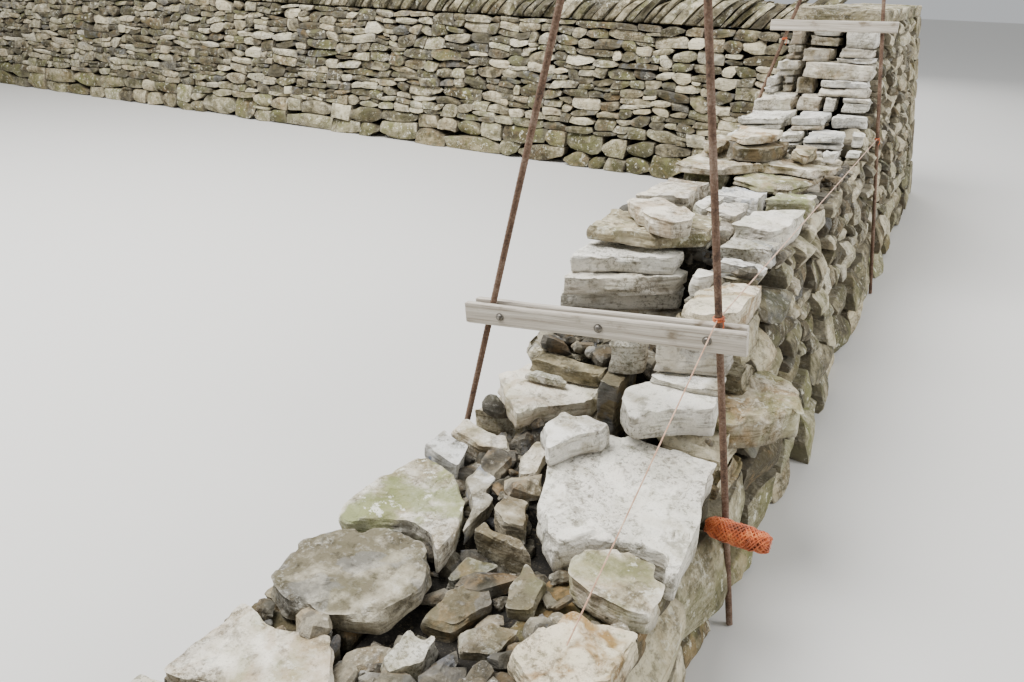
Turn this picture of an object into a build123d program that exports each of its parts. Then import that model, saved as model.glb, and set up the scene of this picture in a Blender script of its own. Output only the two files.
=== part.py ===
from build123d import *
import math
import os
import random

# A dry stone boundary wall and the leg that turns off it, which is being rebuilt.
# Millimetres. The origin is on the ground where the two centrelines cross: the
# boundary wall runs along -X, the leg runs along -Y, and +Z is up.

# Section of the wall. Each face leans in by the batter for every mm of height.
base_width = 720.0
batter = 0.147
hearting_width = 260.0
hearting_batter = 0.09
joint = 4.0

# Levels
footing_top = 240.0
wall_top = 1020.0
line_level = 640.0
leg_top = 1150.0

# Lengths from the corner to the far head of each wall
wall_length = 9600.0
leg_length = 5600.0

# Footing stones, with how far each stands out from the face above it
boundary_block = 480.0
boundary_ledge = 18.0
right_blocks = [(-leg_length, 6), (-5160, 14), (-4700, 10), (-4210, 26), (-3700, 38), (-3180, 16),
                (-2640, 30), (-2190, 10), (-1790, 24), (-1250, 12), (-760, 20)]
left_blocks = [(-leg_length, 8), (-5210, 0), (-4720, -12), (-4240, 6), (-3800, 22), (-3260, 10),
               (-2810, 28), (-2300, 14), (-1840, 4), (-1330, 20), (-830, 12)]

# Courses that are racked back at the working end: the top of each and where it stops
end_margin = 10.0
right_rack = [(320, -4415), (400, -4415), (492, -4230), (585, -4200), (640, -4000)]
left_rack = [(345, -4455), (445, -4235), (545, -3895), (640, -3895)]
hearting_rack = [(262, end_margin - leg_length), (310, -4700), (445, -4235), (620, -3890)]

# Single stones laid on the footing at the working end: the top of each side, then where
# each stone starts and ends along the leg and how far out it reaches
right_bed = 310.0
left_bed = 285.0
right_bed_stones = [(-4590, -4419, 298), (-4839, -4594, 316), (-5088, -4843, 316), (-5337, -5092, 328),
                    (-5590, -5341, 330)]
left_bed_stones = [(-4715, -4462, 296), (-4930, -4719, 322), (-5149, -4934, 322), (-5366, -5153, 328),
                   (-5590, -5370, 330)]

# Courses of the scar, where the full height stops, and where the packed wall behind the
# stones of each one begins
scar_courses = [(700, -2320), (754, -2220), (808, -2100), (866, -1980), (935, -1920), (1000, -1870),
                (1060, -1820), (1150, -1760)]
hearting_seat = 620.0

# Stones of the faces: their usual length, how far one may stand back, and the gap left at a bed
face_stone_length = 370.0
face_recess = 14.0
bed_gap = 0.5
face_seed = 7

# Head of the boundary wall: ties across it and runners along it, course about
head_courses = 6
tie_depth = 260.0
runner_length = 450.0
head_footing_depth = 300.0

# Quoins of the outer corner, the same courses carried to the top of the leg
quoin_courses = 7
quoin_length = 330.0
quoin_depth = 190.0

# Cope: stones on edge that lean towards the corner
cope_bays = 6
cope_lean = 43.0
cope_height = 205.0
cope_width = 445.0
cope_thickness = 76.0
cope_gap = 3.0
cope_end_lean = 1.15
cope_seed = 11

# Flat cover stones on the full-height part of the leg
cover_thickness = 65.0
cover_overhang = 8.0
cover_joints = [175, -255, -640, -1090, -1470, -1960]

# Batter frames: pins, boards, bolts
pin_radius = 8.0
pin_top = 1380.0
clearance = 0.3
near_frame = -4470.0
far_frame = -2030.0
near_right_lean = 0.172
near_left_lean = 0.206
far_left_lean = 0.2655
far_right_level = 1040.0
far_left_level = 955.0
board_thickness = 18.0
board_depth = 45.0
near_board_length = 628.0
back_board_cut = 16.0
near_board_centre = (15.0, 643.0)
near_board_tilt = -7.0
far_board_length = 516.0
far_board_centre = (2.0, 1146.0)
far_board_tilt = -1.6
bolt_radius = 4.0
left_bolt_inset = 29.0
right_bolt_inset = 20.0
middle_bolt = 11.0
hole_overrun = 1.0
bolt_head = (9.5, 6.0)

# Width of the wall on which the outlines of the large stones were drawn
drawn_width = 720.0

# Line
line_radius = 1.5
knot_height = 14.0
knot_wall = 4.0
far_line_level = 700.0
far_left_knot_level = 1085.0
tail_end = (240.0, -5055.0, 371.5)
winder_length = 140.0
winder_radius = 26.0
winder_shift = 30.0


def half(z):
    """Half the width of the wall at height z."""
    return base_width / 2 - batter * z


def core(z):
    """Half the width of the hearting at height z."""
    return hearting_width / 2 - hearting_batter * z


def along_wall(section, start, end):
    """A section in Y and Z, run along X from start to end."""
    face = make_face(Polyline(*[(start, y, z) for y, z in section], close=True))
    return extrude(face, amount=end - start, dir=(1, 0, 0))


def along_leg(section, start, end):
    """A section in X and Z, run along Y from start to end."""
    face = make_face(Polyline(*[(x, start, z) for x, z in section], close=True))
    return extrude(face, amount=end - start, dir=(0, 1, 0))


def upright(outline, low, high):
    """An outline in X and Y, standing from low to high."""
    face = make_face(Polyline(*[(x, y, low) for x, y in outline], close=True))
    return extrude(face, amount=high - low, dir=(0, 0, 1))


def whole(low, high, ledge=0.0):
    """Section of the whole wall between two heights."""
    foot, head = half(low) + ledge, half(high) + ledge
    return [(-foot, low), (foot, low), (head, high), (-head, high)]


def face_section(side, low, high, ledge=0.0):
    """Section of the stones of one face, from the battered outside in to the hearting."""
    return [(side * core(low), low), (side * (half(low) + ledge), low),
            (side * (half(high) + ledge), high), (side * core(high), high)]


def middle_section(low, high):
    """Section of the hearting."""
    return [(-core(low), low), (core(low), low), (core(high), high), (-core(high), high)]


def crossing(low, high, ledge=0.0):
    """The block where the two walls cross, battered on all four sides."""
    section = whole(low, high, ledge)
    return along_wall(section, -base_width, base_width) & along_leg(section, -base_width, base_width)


def racked(section, low, courses):
    """A run of the leg that stops course by course at its working end."""
    outline = [(0, low)]
    bottom = low
    for top, end in courses:
        outline += [(end, bottom), (end, top)]
        bottom = top
    outline.append((0, bottom))
    return along_leg(section, -leg_length, 0) & along_wall(outline, -base_width, base_width)


def face_stones(rng, run, side, low, courses, corner):
    """The stones of one face, course on course. courses holds the top of each and where it starts.
    Each stone stands back from the face by its own amount, and the last of a course is cut off where
    it meets the corner."""
    stones = []
    for top, start in courses:
        stop = -half(top)
        count = max(1, round((stop - start) / face_stone_length))
        lengths = [rng.uniform(0.65, 1.35) for _ in range(count)]
        place = start
        for number, length in enumerate(lengths):
            end = place + length * (stop - start) / sum(lengths)
            section = face_section(side, low, top - bed_gap, -rng.uniform(0, face_recess))
            last = number == count - 1
            stone = run(section, place, 0 if last else end - joint)
            stones.append(stone - corner if last else stone)
            place = end
        low = top
    return stones


def save(node, solids):
    """Write one node as a STEP file."""
    shape = Compound(children=list(solids)) if len(solids) > 1 else solids[0]
    export_step(shape, f"parts/{node}.step")


os.makedirs("parts", exist_ok=True)

# Corner
corner = crossing(0, leg_top)
corner_foot = crossing(0, footing_top, boundary_ledge)
save("corner_footing", [corner_foot])

# The outer corner stands away from both walls, at +X and +Y
quoin_rise = (leg_top - footing_top) / quoin_courses
quoins = []
for course in range(quoin_courses):
    low = footing_top + course * quoin_rise
    edge = half(low + quoin_rise)
    reach_x, reach_y = (quoin_length, quoin_depth) if course % 2 else (quoin_depth, quoin_length)
    stone = upright([(edge - reach_x, edge - reach_y), (base_width, edge - reach_y),
                     (base_width, base_width), (edge - reach_x, base_width)], low, low + quoin_rise)
    quoins.append(corner & stone)
save("corner_quoins_along_leg", quoins[0::2])
save("corner_quoins_along_wall", quoins[1::2])
core_block = crossing(footing_top, leg_top)
for stone in quoins:
    core_block -= stone
save("corner_core", [core_block])

# Boundary wall footing, with one stone across it under the head
head_foot = along_wall(whole(0, footing_top, boundary_ledge), -wall_length, head_footing_depth - wall_length)
save("head_footing", [head_foot])
first_block = head_footing_depth + joint - wall_length
blocks = round((-half(0) - first_block) / boundary_block)
pitch = (-half(0) - first_block) / blocks
footing_stones = []
for side in (-1, 1):
    for i in range(blocks):
        start = first_block + i * pitch
        block = along_wall(face_section(side, 0, footing_top, boundary_ledge), start, start + pitch - joint)
        footing_stones.append(block - corner_foot)
save("boundary_footing_stones", footing_stones)
packed = along_wall(middle_section(0, footing_top), head_footing_depth - wall_length, 0)
save("boundary_footing_hearting", [packed - corner_foot])

# Head of the boundary wall
course_rise = (wall_top - footing_top) / head_courses
ties, runners, head = [], [], []
for course in range(head_courses):
    low = footing_top + course * course_rise
    high = low + course_rise
    if course % 2 == 0:
        ties.append(along_wall(whole(low, high), -wall_length, tie_depth - wall_length))
        head.append(ties[-1])
    else:
        for side in (-1, 1):
            section = [(side * joint / 2, low), (side * half(low), low), (side * half(high), high),
                       (side * joint / 2, high)]
            runners.append(along_wall(section, -wall_length, runner_length - wall_length))
        head.append(along_wall(whole(low, high), -wall_length, runner_length - wall_length))
save("head_ties", ties)
save("head_runners", runners)

# Faces and hearting of the boundary wall
face_rng = random.Random(face_seed)
courses = []
for course in range(head_courses):
    head_end = runner_length if course % 2 else tie_depth
    courses.append((footing_top + (course + 1) * course_rise, head_end - wall_length))
for node, side in (("boundary_front_face", -1), ("boundary_back_face", 1)):
    save(node, face_stones(face_rng, along_wall, side, footing_top, courses, corner))
mass = along_wall(middle_section(footing_top, wall_top), -wall_length, 0) - corner
for stone in head:
    mass -= stone
save("boundary_hearting", [mass])


# Cope of the boundary wall
def cope_stone(foot, thickness, outline):
    """A stone on edge: its outline leans from its foot and is run along the wall by its thickness."""
    slope = math.tan(math.radians(cope_lean))
    points = [(foot + rise * slope, y, wall_top + rise) for y, rise in outline]
    return extrude(make_face(Polyline(*points, close=True)), amount=thickness, dir=(1, 0, 0))


rng = random.Random(cope_seed)
lean_reach = cope_height * math.tan(math.radians(cope_lean))
cope_end = -half(wall_top) - cope_end_lean * lean_reach
bay = (wall_length + cope_end) / cope_bays
for index in range(cope_bays):
    stones = []
    count = round(bay / cope_thickness)
    widths = [rng.uniform(0.7, 1.3) for _ in range(count)]
    scale = bay / sum(widths)
    foot = -wall_length + index * bay
    for width in widths:
        left, right = (cope_width / 2 * rng.uniform(0.86, 1.08) for _ in range(2))
        height = cope_height * rng.uniform(0.78, 1.12)
        shoulder = [height * rng.uniform(0.45, 0.75) for _ in range(2)]
        crown = [rng.uniform(0.35, 0.75) for _ in range(2)]
        outline = [(-left * 0.9, 0), (right * 0.9, 0), (right, shoulder[0]), (right * crown[0], height),
                   (-left * crown[1], height * rng.uniform(0.88, 1.0)), (-left, shoulder[1])]
        stones.append(cope_stone(foot, width * scale - cope_gap, outline))
        foot += width * scale
    save(f"cope_bay_{index + 1}", stones)

# The springer fills in behind the last leaning stone, against the corner
slope = math.tan(math.radians(cope_lean))
springer_rise = leg_top - wall_top
springer = [(cope_end, wall_top), (-half(wall_top), wall_top), (-half(leg_top), leg_top),
            (cope_end + springer_rise * slope, leg_top)]
save("cope_springer", [along_leg(springer, -half(leg_top), half(leg_top))])

# Leg footing: two rows of large stones with hearting packed between them
rows = []
for side, row in ((1, right_blocks), (-1, left_blocks)):
    stops = [start for start, _ in row[1:]] + [0]
    for (start, ledge), stop in zip(row, stops):
        block = along_leg(face_section(side, 0, footing_top, ledge), start, stop - joint if stop else 0)
        rows.append(block - corner_foot)
save("leg_footing_stones", rows)
save("leg_footing_hearting", [along_leg(middle_section(0, footing_top), -leg_length, 0) - corner_foot])

# Leg up to the line, racked back at the near end, and its full height behind the stones of the scar
for name, side, rack in (("right", 1, right_rack), ("left", -1, left_rack)):
    save(f"leg_{name}_face_lower", face_stones(face_rng, along_leg, side, footing_top, rack, corner))
    save(f"leg_{name}_face_upper", face_stones(face_rng, along_leg, side, line_level, scar_courses, corner))
lower = racked(middle_section(footing_top, line_level), footing_top, hearting_rack)
upper = racked(middle_section(hearting_seat, leg_top), hearting_seat, scar_courses)
save("leg_hearting_lower", [lower - corner])
save("leg_hearting_upper", [upper - corner])

# Cover stones
covers = []
for near, far in zip(cover_joints[1:], cover_joints[:-1]):
    reach = half(leg_top) + cover_overhang
    nip = 0.06 * (far - near)
    outline = [(-reach, near + joint + nip), (-reach * 0.6, near + joint), (reach * 0.8, near + joint),
               (reach, near + joint + 2 * nip), (reach * 0.96, far - nip), (reach * 0.5, far),
               (-reach * 0.9, far)]
    covers.append(upright(outline, leg_top, leg_top + cover_thickness))
save("cover_stones", covers)

# Large stones of the near end, the racked courses, the working top and the scar.
# Each is an outline in X and Y, as drawn on a wall of drawn_width, with its bed and its top.
course_1, course_2, course_3 = [top for top, _ in right_rack[1:4]]
left_course_1, left_course_2 = [top for top, _ in left_rack[:2]]
hearting_bed, slab_bed = [top for top, _ in hearting_rack[:2]]
scar_beds = [line_level] + [top for top, _ in scar_courses]
white_slab_top = 380.0
ochre_top = 395.0
pale_slab_top = 470.0
stack_tops = (500.0, 553.0, 605.0, 655.0)
slab_underside = 665.0
lower_slab_bed = 682.0
through_bed = 709.0
through_top = 743.0
dark_stone_top = 797.0
large_stones = {
    "white_slab": [
        ([(-45, -4545), (-5, -4480), (55, -4424), (300, -4422), (296, -4495), (300, -4535),
          (330, -4665), (330, -4745), (336, -4822), (316, -4822), (304, -4778), (225, -4775),
          (160, -4810), (118, -4868), (30, -4760)], slab_bed, white_slab_top)],
    "near_left_slabs": [
        ([(-305, -5145), (-325, -5030), (-285, -4968), (-235, -4938), (-170, -4910), (-110, -4922),
          (-62, -4965), (-45, -5030), (-65, -5125), (-155, -5165), (-235, -5175)], left_bed, 335),
        ([(-318, -4945), (-322, -4740), (-300, -4675), (-180, -4705), (-112, -4780), (-72, -4885),
          (-72, -4950), (-108, -4912), (-170, -4900), (-232, -4926), (-285, -4956)], left_bed, 340),
        ([(-316, -4655), (-312, -4562), (-215, -4600), (-190, -4690), (-250, -4672), (-290, -4662)],
          left_bed, 345),
        ([(-178, -4692), (-182, -4615), (-112, -4650), (-110, -4706), (-76, -4716), (-75, -4860),
          (-104, -4775)], left_bed, 325),
        ([(-312, -4548), (-308, -4490), (-160, -4515), (-125, -4560), (-205, -4590)], left_bed, 340),
        ([(-300, -5200), (-205, -5205), (-110, -5178), (-45, -5260), (-130, -5360), (-300, -5370)],
          left_bed, 325),
        ([(-312, -5390), (-120, -5380), (-60, -5470), (-90, -5580), (-310, -5588)], left_bed, 335)],
    "near_right_stones": [
        ([(160, -4822), (224, -4786), (298, -4790), (308, -4832), (332, -4838), (334, -4915),
          (295, -4930), (220, -4930), (165, -4902), (152, -4862)], right_bed, 368),
        ([(160, -5110), (178, -5025), (205, -4958), (255, -4962), (290, -4945), (332, -4950),
          (335, -5080), (240, -5165)], right_bed, 370),
        ([(120, -5225), (240, -5190), (330, -5110), (328, -5380), (140, -5400)], right_bed, 350),
        ([(130, -5425), (328, -5400), (326, -5588), (112, -5588)], right_bed, 355)],
    "near_hearting": [
        ([(-36, -5070), (-36, -4975), (20, -4915), (68, -4965), (30, -5060)], hearting_bed, 305),
        ([(-60, -4955), (-58, -4870), (20, -4868), (8, -4905), (-40, -4960)], hearting_bed, 300),
        ([(76, -4880), (140, -4905), (150, -4985), (98, -5008), (80, -4960)], right_bed, 345),
        ([(50, -5075), (90, -5022), (150, -5018), (140, -5100), (80, -5125)], right_bed, 338),
        ([(-34, -5180), (-34, -5082), (25, -5074), (40, -5140), (0, -5200)], hearting_bed, 310),
        ([(12, -5215), (52, -5150), (94, -5160), (94, -5240), (45, -5290)], hearting_bed, 298),
        ([(-35, -5400), (-30, -5290), (50, -5310), (92, -5400), (20, -5450)], hearting_bed, 300),
        ([(2, -5470), (88, -5440), (90, -5560), (10, -5580)], hearting_bed, 300),
        ([(-50, -5475), (-12, -5465), (-8, -5580), (-70, -5583)], hearting_bed, 305),
        ([(-100, -4600), (-95, -4505), (-55, -4510), (-24, -4638), (-60, -4660)], slab_bed, 352),
        ([(-60, -4710), (-4, -4708), (42, -4808), (-10, -4818), (-55, -4780)], hearting_bed, 345),
        ([(-60, -4802), (-20, -4835), (56, -4826), (92, -4856), (-55, -4856)], hearting_bed, 340),
        ([(-14, -4390), (-14, -4242), (40, -4242), (45, -4390)], slab_bed, pale_slab_top)],
    "ochre_slab": [
        ([(-292, -4360), (-262, -4240), (-25, -4240), (-24, -4350), (-130, -4450), (-155, -4505),
          (-230, -4440)], left_course_1, ochre_top)],
    "mossy_slab": [
        ([(-240, -4300), (-238, -4242), (-30, -4242), (-28, -4290), (-95, -4308)], ochre_top, 442)],
    "thin_white_slab": [
        ([(-225, -4345), (-215, -4318), (-110, -4318), (-100, -4335), (-165, -4352)], ochre_top, 418)],
    "pale_slab": [
        ([(60, -4440), (58, -4392), (76, -4345), (90, -4238), (258, -4238), (270, -4380), (195, -4425),
          (150, -4462), (112, -4500)], course_1, pale_slab_top)],
    "loose_grey_block": [
        ([(-66, -4575), (-50, -4495), (5, -4475), (80, -4487), (78, -4525), (40, -4575), (0, -4660)],
          white_slab_top, 435)],
    "thin_green_slab": [
        ([(90, -4344), (94, -4236), (255, -4236), (262, -4318), (200, -4344)], pale_slab_top,
          course_2)],
    "rack_blocks": [
        ([(-12, -4350), (40, -4338), (74, -4300), (72, -4262), (-5, -4262)], pale_slab_top, 560),
        ([(92, -4330), (200, -4290), (260, -4258), (262, -4204), (92, -4204)], course_2, course_3)],
    "stacked_slab_base": [
        ([(-262, -4105), (-266, -3905), (52, -3905), (45, -3935), (-95, -4040)], left_course_2,
          stack_tops[0])],
    "stacked_slab_low": [
        ([(-250, -4112), (-252, -3905), (45, -3905), (40, -3945), (-99, -4042)], *stack_tops[0:2])],
    "stacked_slab_middle": [
        ([(-225, -4152), (-246, -3905), (42, -3905), (38, -3972), (-87, -4080)], *stack_tops[1:3])],
    "stacked_slab_top": [
        ([(-227, -4120), (-246, -3910), (30, -3910), (23, -3980), (-106, -4048)], *stack_tops[2:4])],
    "cream_corner_stone": [
        ([(126, -4275), (124, -4120), (165, -4055), (256, -4006), (262, -4130), (258, -4250),
          (190, -4296)], course_3, 645)],
    "working_top_stones": [
        ([(80, -4085), (82, -4006), (150, -4006), (140, -4058), (112, -4094)], course_3, 650),
        ([(120, -3994), (125, -3925), (252, -3925), (256, -3988)], line_level, 666),
        ([(96, -3915), (108, -3812), (246, -3800), (252, -3900)], line_level, 692),
        ([(92, -3780), (105, -3600), (248, -3500), (254, -3700), (200, -3785)], line_level, 712),
        ([(-240, -3850), (-240, -3760), (-150, -3760), (-150, -3855)], line_level, slab_underside),
        ([(0, -3840), (-5, -3740), (60, -3740), (70, -3835)], line_level, slab_underside),
        ([(-20, -3640), (0, -3505), (78, -3470), (92, -3560), (82, -3660)], line_level, 705),
        ([(108, -3480), (118, -3330), (246, -3290), (250, -3420)], line_level, 715),
        ([(-246, -3620), (-248, -3300), (-90, -3290), (-92, -3560)], line_level, 710),
        ([(-80, -3560), (-80, -3420), (-14, -3400), (-12, -3500), (-32, -3610)], line_level, 695),
        ([(-70, -3390), (-66, -3290), (95, -3280), (98, -3440), (0, -3380)], line_level, 700),
        ([(-240, -3200), (-235, -2900), (-72, -2900), (-75, -3195)], line_level, through_bed),
        ([(-60, -3185), (-50, -2960), (190, -2880), (215, -3040), (120, -3130)], line_level,
          lower_slab_bed),
        ([(-238, -2985), (-234, -2830), (-146, -2830), (-140, -2990), (-155, -3075), (-205, -3050)],
          through_top, 784),
        ([(-130, -3050), (-136, -2860), (62, -2860), (64, -2985), (20, -3080), (-70, -3125)],
          through_top, dark_stone_top),
        ([(74, -2985), (76, -2870), (160, -2860), (168, -2960), (150, -3045)], through_top, 784),
        ([(180, -2960), (174, -2850), (226, -2830), (230, -2935)], through_top, 776),
        ([(-128, -3040), (-140, -2850), (34, -2850), (38, -2985), (-52, -3105)], dark_stone_top +
          bed_gap, 826)],
    "working_top_slab": [
        ([(-235, -4010), (-245, -3800), (-60, -3660), (60, -3700), (80, -3890), (-40, -3990)],
          slab_underside, 705)],
    "loose_top_stone": [
        ([(-195, -3830), (-180, -3780), (-120, -3735), (-65, -3775), (35, -3880), (42, -3960),
          (10, -4005), (-60, -3990), (-120, -3930)], 705, 750)],
    "through_stone": [
        ([(-62, -3200), (-58, -2940), (200, -2880), (202, -3130), (148, -3262), (79, -3280),
          (3, -3238)], lower_slab_bed, through_bed - bed_gap),
        ([(-254, -3252), (-246, -2820), (246, -2800), (246, -2960), (188, -3085), (100, -3062),
          (0, -3100), (-60, -3195), (-120, -3248)], through_bed, through_top)],
}
# Each course of the scar from the line up, left to right
scar_outlines = [
    [[(-255, -2770), (-211, -2748), (8, -2585), (5, -2325), (-250, -2325)],
     [(16, -2575), (130, -2490), (128, -2325), (12, -2325)],
     [(138, -2470), (182, -2445), (180, -2325), (136, -2325)],
     [(190, -2440), (256, -2400), (256, -2325), (188, -2325)]],
    [[(-248, -2655), (-228, -2644), (-70, -2520), (-72, -2225), (-246, -2225)],
     [(-62, -2535), (22, -2475), (22, -2225), (-64, -2225)],
     [(30, -2520), (150, -2440), (192, -2400), (168, -2225), (30, -2225)],
     [(200, -2330), (246, -2310), (246, -2225), (178, -2225)]],
    [[(-236, -2572), (-213, -2560), (-54, -2432), (-54, -2105), (-236, -2105)],
     [(-46, -2420), (84, -2325), (84, -2105), (-46, -2105)],
     [(92, -2245), (200, -2165), (236, -2160), (236, -2105), (92, -2105)]],
    [[(-226, -2310), (-196, -2298), (-78, -2200), (-78, -1985), (-226, -1985)],
     [(-70, -2190), (30, -2160), (30, -1985), (-70, -1985)],
     [(38, -2165), (88, -2125), (84, -1985), (38, -1985)],
     [(96, -2125), (228, -2085), (228, -1985), (92, -1985)]],
    [[(-220, -2190), (-174, -2150), (-174, -1925), (-220, -1925)],
     [(-166, -2080), (-114, -2060), (-114, -1925), (-166, -1925)],
     [(-106, -2095), (-24, -2030), (-24, -1925), (-106, -1925)],
     [(-16, -2120), (21, -2135), (218, -2060), (218, -1925), (-16, -1925)]],
    [[(-198, -2130), (-101, -2060), (-101, -1875), (-198, -1875)],
     [(-93, -2050), (-10, -2095), (206, -2045), (206, -1875), (-93, -1875)]],
    [[(-182, -2050), (-114, -1990), (-114, -1825), (-182, -1825)],
     [(-106, -2060), (18, -2000), (18, -1825), (-106, -1825)],
     [(26, -2030), (198, -2010), (198, -1825), (26, -1825)]],
    [[(-182, -1985), (-120, -1970), (-120, -1765), (-182, -1765)],
     [(-112, -1950), (40, -1940), (40, -1765), (-112, -1765)],
     [(48, -1975), (184, -1985), (184, -1765), (48, -1765)]],
]
large_stones["scar_stones"] = [(outline, low, high - bed_gap) for low, high, outlines
                               in zip(scar_beds, scar_beds[1:], scar_outlines) for outline in outlines]
spread = base_width / drawn_width
for node, stones in large_stones.items():
    save(node, [upright([(x * spread, y) for x, y in outline], low, high) for outline, low, high in stones])

# The single stones under them, from beside the hearting out past the face
bed = []
for side, top, beds in ((1, right_bed, right_bed_stones), (-1, left_bed, left_bed_stones)):
    inner = side * (core(footing_top) + joint)
    for start, end, reach in beds:
        outer = side * reach * spread
        bed.append(upright([(inner, start), (inner, end), (outer, end), (outer, start)], footing_top, top))
save("near_bed_stones", bed)


# Batter frames
def pin(x, y, lean):
    """A pin driven in beside the wall, leaning as the face does."""
    foot = Plane((x, y, 0)) * Circle(pin_radius)
    return extrude(foot, amount=pin_top * math.hypot(1, lean), dir=(-lean, 0, 1))


def footing_face(row, y):
    """How far out the footing stone beside a place on the leg stands at its top."""
    ledge = [ledge for start, ledge in row if start <= y][-1]
    return half(footing_top) + ledge


seat = pin_radius + clearance
near_right_foot = footing_face(right_blocks, near_frame) + seat + near_right_lean * footing_top
near_left_foot = -(footing_face(left_blocks, near_frame) + seat + near_left_lean * footing_top)
far_right_seat = footing_face(right_blocks, far_frame) + seat
far_right_lean = (far_right_seat - half(far_right_level) - seat) / (far_right_level - footing_top)
far_right_foot = far_right_seat + far_right_lean * footing_top
far_left_foot = -(half(far_left_level) + seat + far_left_lean * far_left_level)
save("batter_pins", [pin(near_right_foot, near_frame, near_right_lean),
                     pin(near_left_foot, near_frame, -near_left_lean),
                     pin(far_right_foot, far_frame, far_right_lean),
                     pin(far_left_foot, far_frame, -far_left_lean)])


def board(length, centre, front, tilt):
    """A crossbar board on edge, its front face at y = front, tilted about its middle."""
    x, z = centre
    middle = Location((x, front + board_thickness / 2, z), (0, tilt, 0))
    return middle * Box(length, board_thickness, board_depth)


def along_board(centre, tilt, reach):
    """A place on the middle line of a crossbar, at a reach from its centre."""
    angle = math.radians(tilt)
    return centre[0] + reach * math.cos(angle), centre[1] - reach * math.sin(angle)


def rod(x, z, start, end, radius):
    """A round rod along Y."""
    return extrude(Plane((x, start, z), z_dir=(0, 1, 0)) * Circle(radius), amount=end - start)


front_face = near_frame - seat - board_thickness
back_face = near_frame + seat
rear = back_face + board_thickness
front_board = board(near_board_length, near_board_centre, front_face, near_board_tilt)
back_board = board(near_board_length - back_board_cut, near_board_centre, back_face, near_board_tilt)
# One bolt beside each pin, on its inner side, and one between them
right_crossing = near_right_foot - near_right_lean * near_board_centre[1] - near_board_centre[0]
left_crossing = near_left_foot + near_left_lean * near_board_centre[1] - near_board_centre[0]
bolts = []
head_radius, head_height = bolt_head
for reach in (left_crossing + left_bolt_inset, middle_bolt, right_crossing - right_bolt_inset):
    x, z = along_board(near_board_centre, near_board_tilt, reach)
    hole = rod(x, z, front_face - hole_overrun, rear + hole_overrun, bolt_radius + clearance)
    front_board -= hole
    back_board -= hole
    bolts.append(rod(x, z, front_face - head_height, rear + head_height, bolt_radius)
                 + rod(x, z, front_face - head_height, front_face, head_radius)
                 + rod(x, z, rear, rear + head_height, head_radius))
save("near_crossbar_front", [front_board])
save("near_crossbar_back", [back_board])
save("crossbar_bolts", bolts)
far_face = far_frame - seat - board_thickness
save("far_crossbar", [board(far_board_length, far_board_centre, far_face, far_board_tilt)])


# Line
def tube(start, end, radius):
    """A straight run of line between two points."""
    path = Line(start, end)
    return sweep(Plane(origin=start, z_dir=path % 0) * Circle(radius), path)


def knot(x, y, lean, level):
    """Turns of line drawn tight round a pin, square to nothing but the pin's lean."""
    inner = pin_radius + clearance
    ring = Plane((x - lean * (level - knot_height / 2), y, level - knot_height / 2)) * (
        Circle(inner + knot_wall) - Circle(inner))
    return extrude(ring, amount=knot_height * math.hypot(1, lean), dir=(-lean, 0, 1))


knot_reach = pin_radius + clearance + knot_wall
near_line_level = (along_board(near_board_centre, near_board_tilt, right_crossing)[1]
                   + board_depth / 2 / math.cos(math.radians(near_board_tilt)) + knot_height)
near_pin_x = near_right_foot - near_right_lean * near_line_level
far_pin_x = far_right_foot - far_right_lean * far_line_level
save("guide_line", [tube((near_pin_x, near_frame + knot_reach, near_line_level),
                         (far_pin_x, far_frame - knot_reach, far_line_level), line_radius)])
tail_start = (near_pin_x, near_frame - knot_reach - line_radius / 2, near_line_level)
save("line_tail", [tube(tail_start, tail_end, line_radius)])
save("line_knots", [knot(near_right_foot, near_frame, near_right_lean, near_line_level),
                    knot(far_right_foot, far_frame, far_right_lean, far_line_level),
                    knot(far_left_foot, far_frame, -far_left_lean, far_left_knot_level)])

winder_centre = (near_right_foot - near_right_lean * footing_top + winder_shift,
                 near_frame - seat - winder_radius, footing_top + winder_radius + clearance)
ends = winder_length / 2
profile = [(-ends, 0), (-ends, 12), (-ends * 0.75, 20), (-ends * 0.45, winder_radius),
           (ends * 0.4, winder_radius), (ends * 0.8, 20), (ends, 11), (ends, 0)]
spindle = revolve(make_face(Polyline(*[(x, r, 0) for x, r in profile], close=True)), Axis.X)
save("line_winder", [Location(winder_centre) * spindle])
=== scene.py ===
import math

import bpy
import numpy as np
from mathutils import Matrix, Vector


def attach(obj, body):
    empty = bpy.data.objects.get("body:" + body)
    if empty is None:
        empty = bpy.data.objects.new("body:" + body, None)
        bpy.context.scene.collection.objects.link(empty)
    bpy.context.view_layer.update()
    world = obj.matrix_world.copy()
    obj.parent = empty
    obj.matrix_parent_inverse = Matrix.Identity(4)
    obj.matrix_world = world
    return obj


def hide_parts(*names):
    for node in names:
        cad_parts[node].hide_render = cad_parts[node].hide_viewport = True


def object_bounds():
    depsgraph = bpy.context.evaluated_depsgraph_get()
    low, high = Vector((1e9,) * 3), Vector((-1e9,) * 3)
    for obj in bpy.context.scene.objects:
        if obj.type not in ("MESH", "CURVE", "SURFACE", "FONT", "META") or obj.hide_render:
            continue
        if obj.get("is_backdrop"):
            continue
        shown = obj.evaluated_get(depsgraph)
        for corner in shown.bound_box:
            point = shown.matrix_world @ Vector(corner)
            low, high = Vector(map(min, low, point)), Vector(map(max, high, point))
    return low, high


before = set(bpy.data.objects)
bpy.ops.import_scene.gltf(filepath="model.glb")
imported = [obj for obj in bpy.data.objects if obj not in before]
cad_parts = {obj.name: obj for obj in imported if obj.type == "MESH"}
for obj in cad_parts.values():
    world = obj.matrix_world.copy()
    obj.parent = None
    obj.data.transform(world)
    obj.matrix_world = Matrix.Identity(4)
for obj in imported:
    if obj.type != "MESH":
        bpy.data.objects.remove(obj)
cad_low, cad_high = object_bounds()

# Stage: the floor, the soft studio light and the camera of the photograph.
# Metres. The boundary wall runs along -X and the leg along -Y from the corner.


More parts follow.
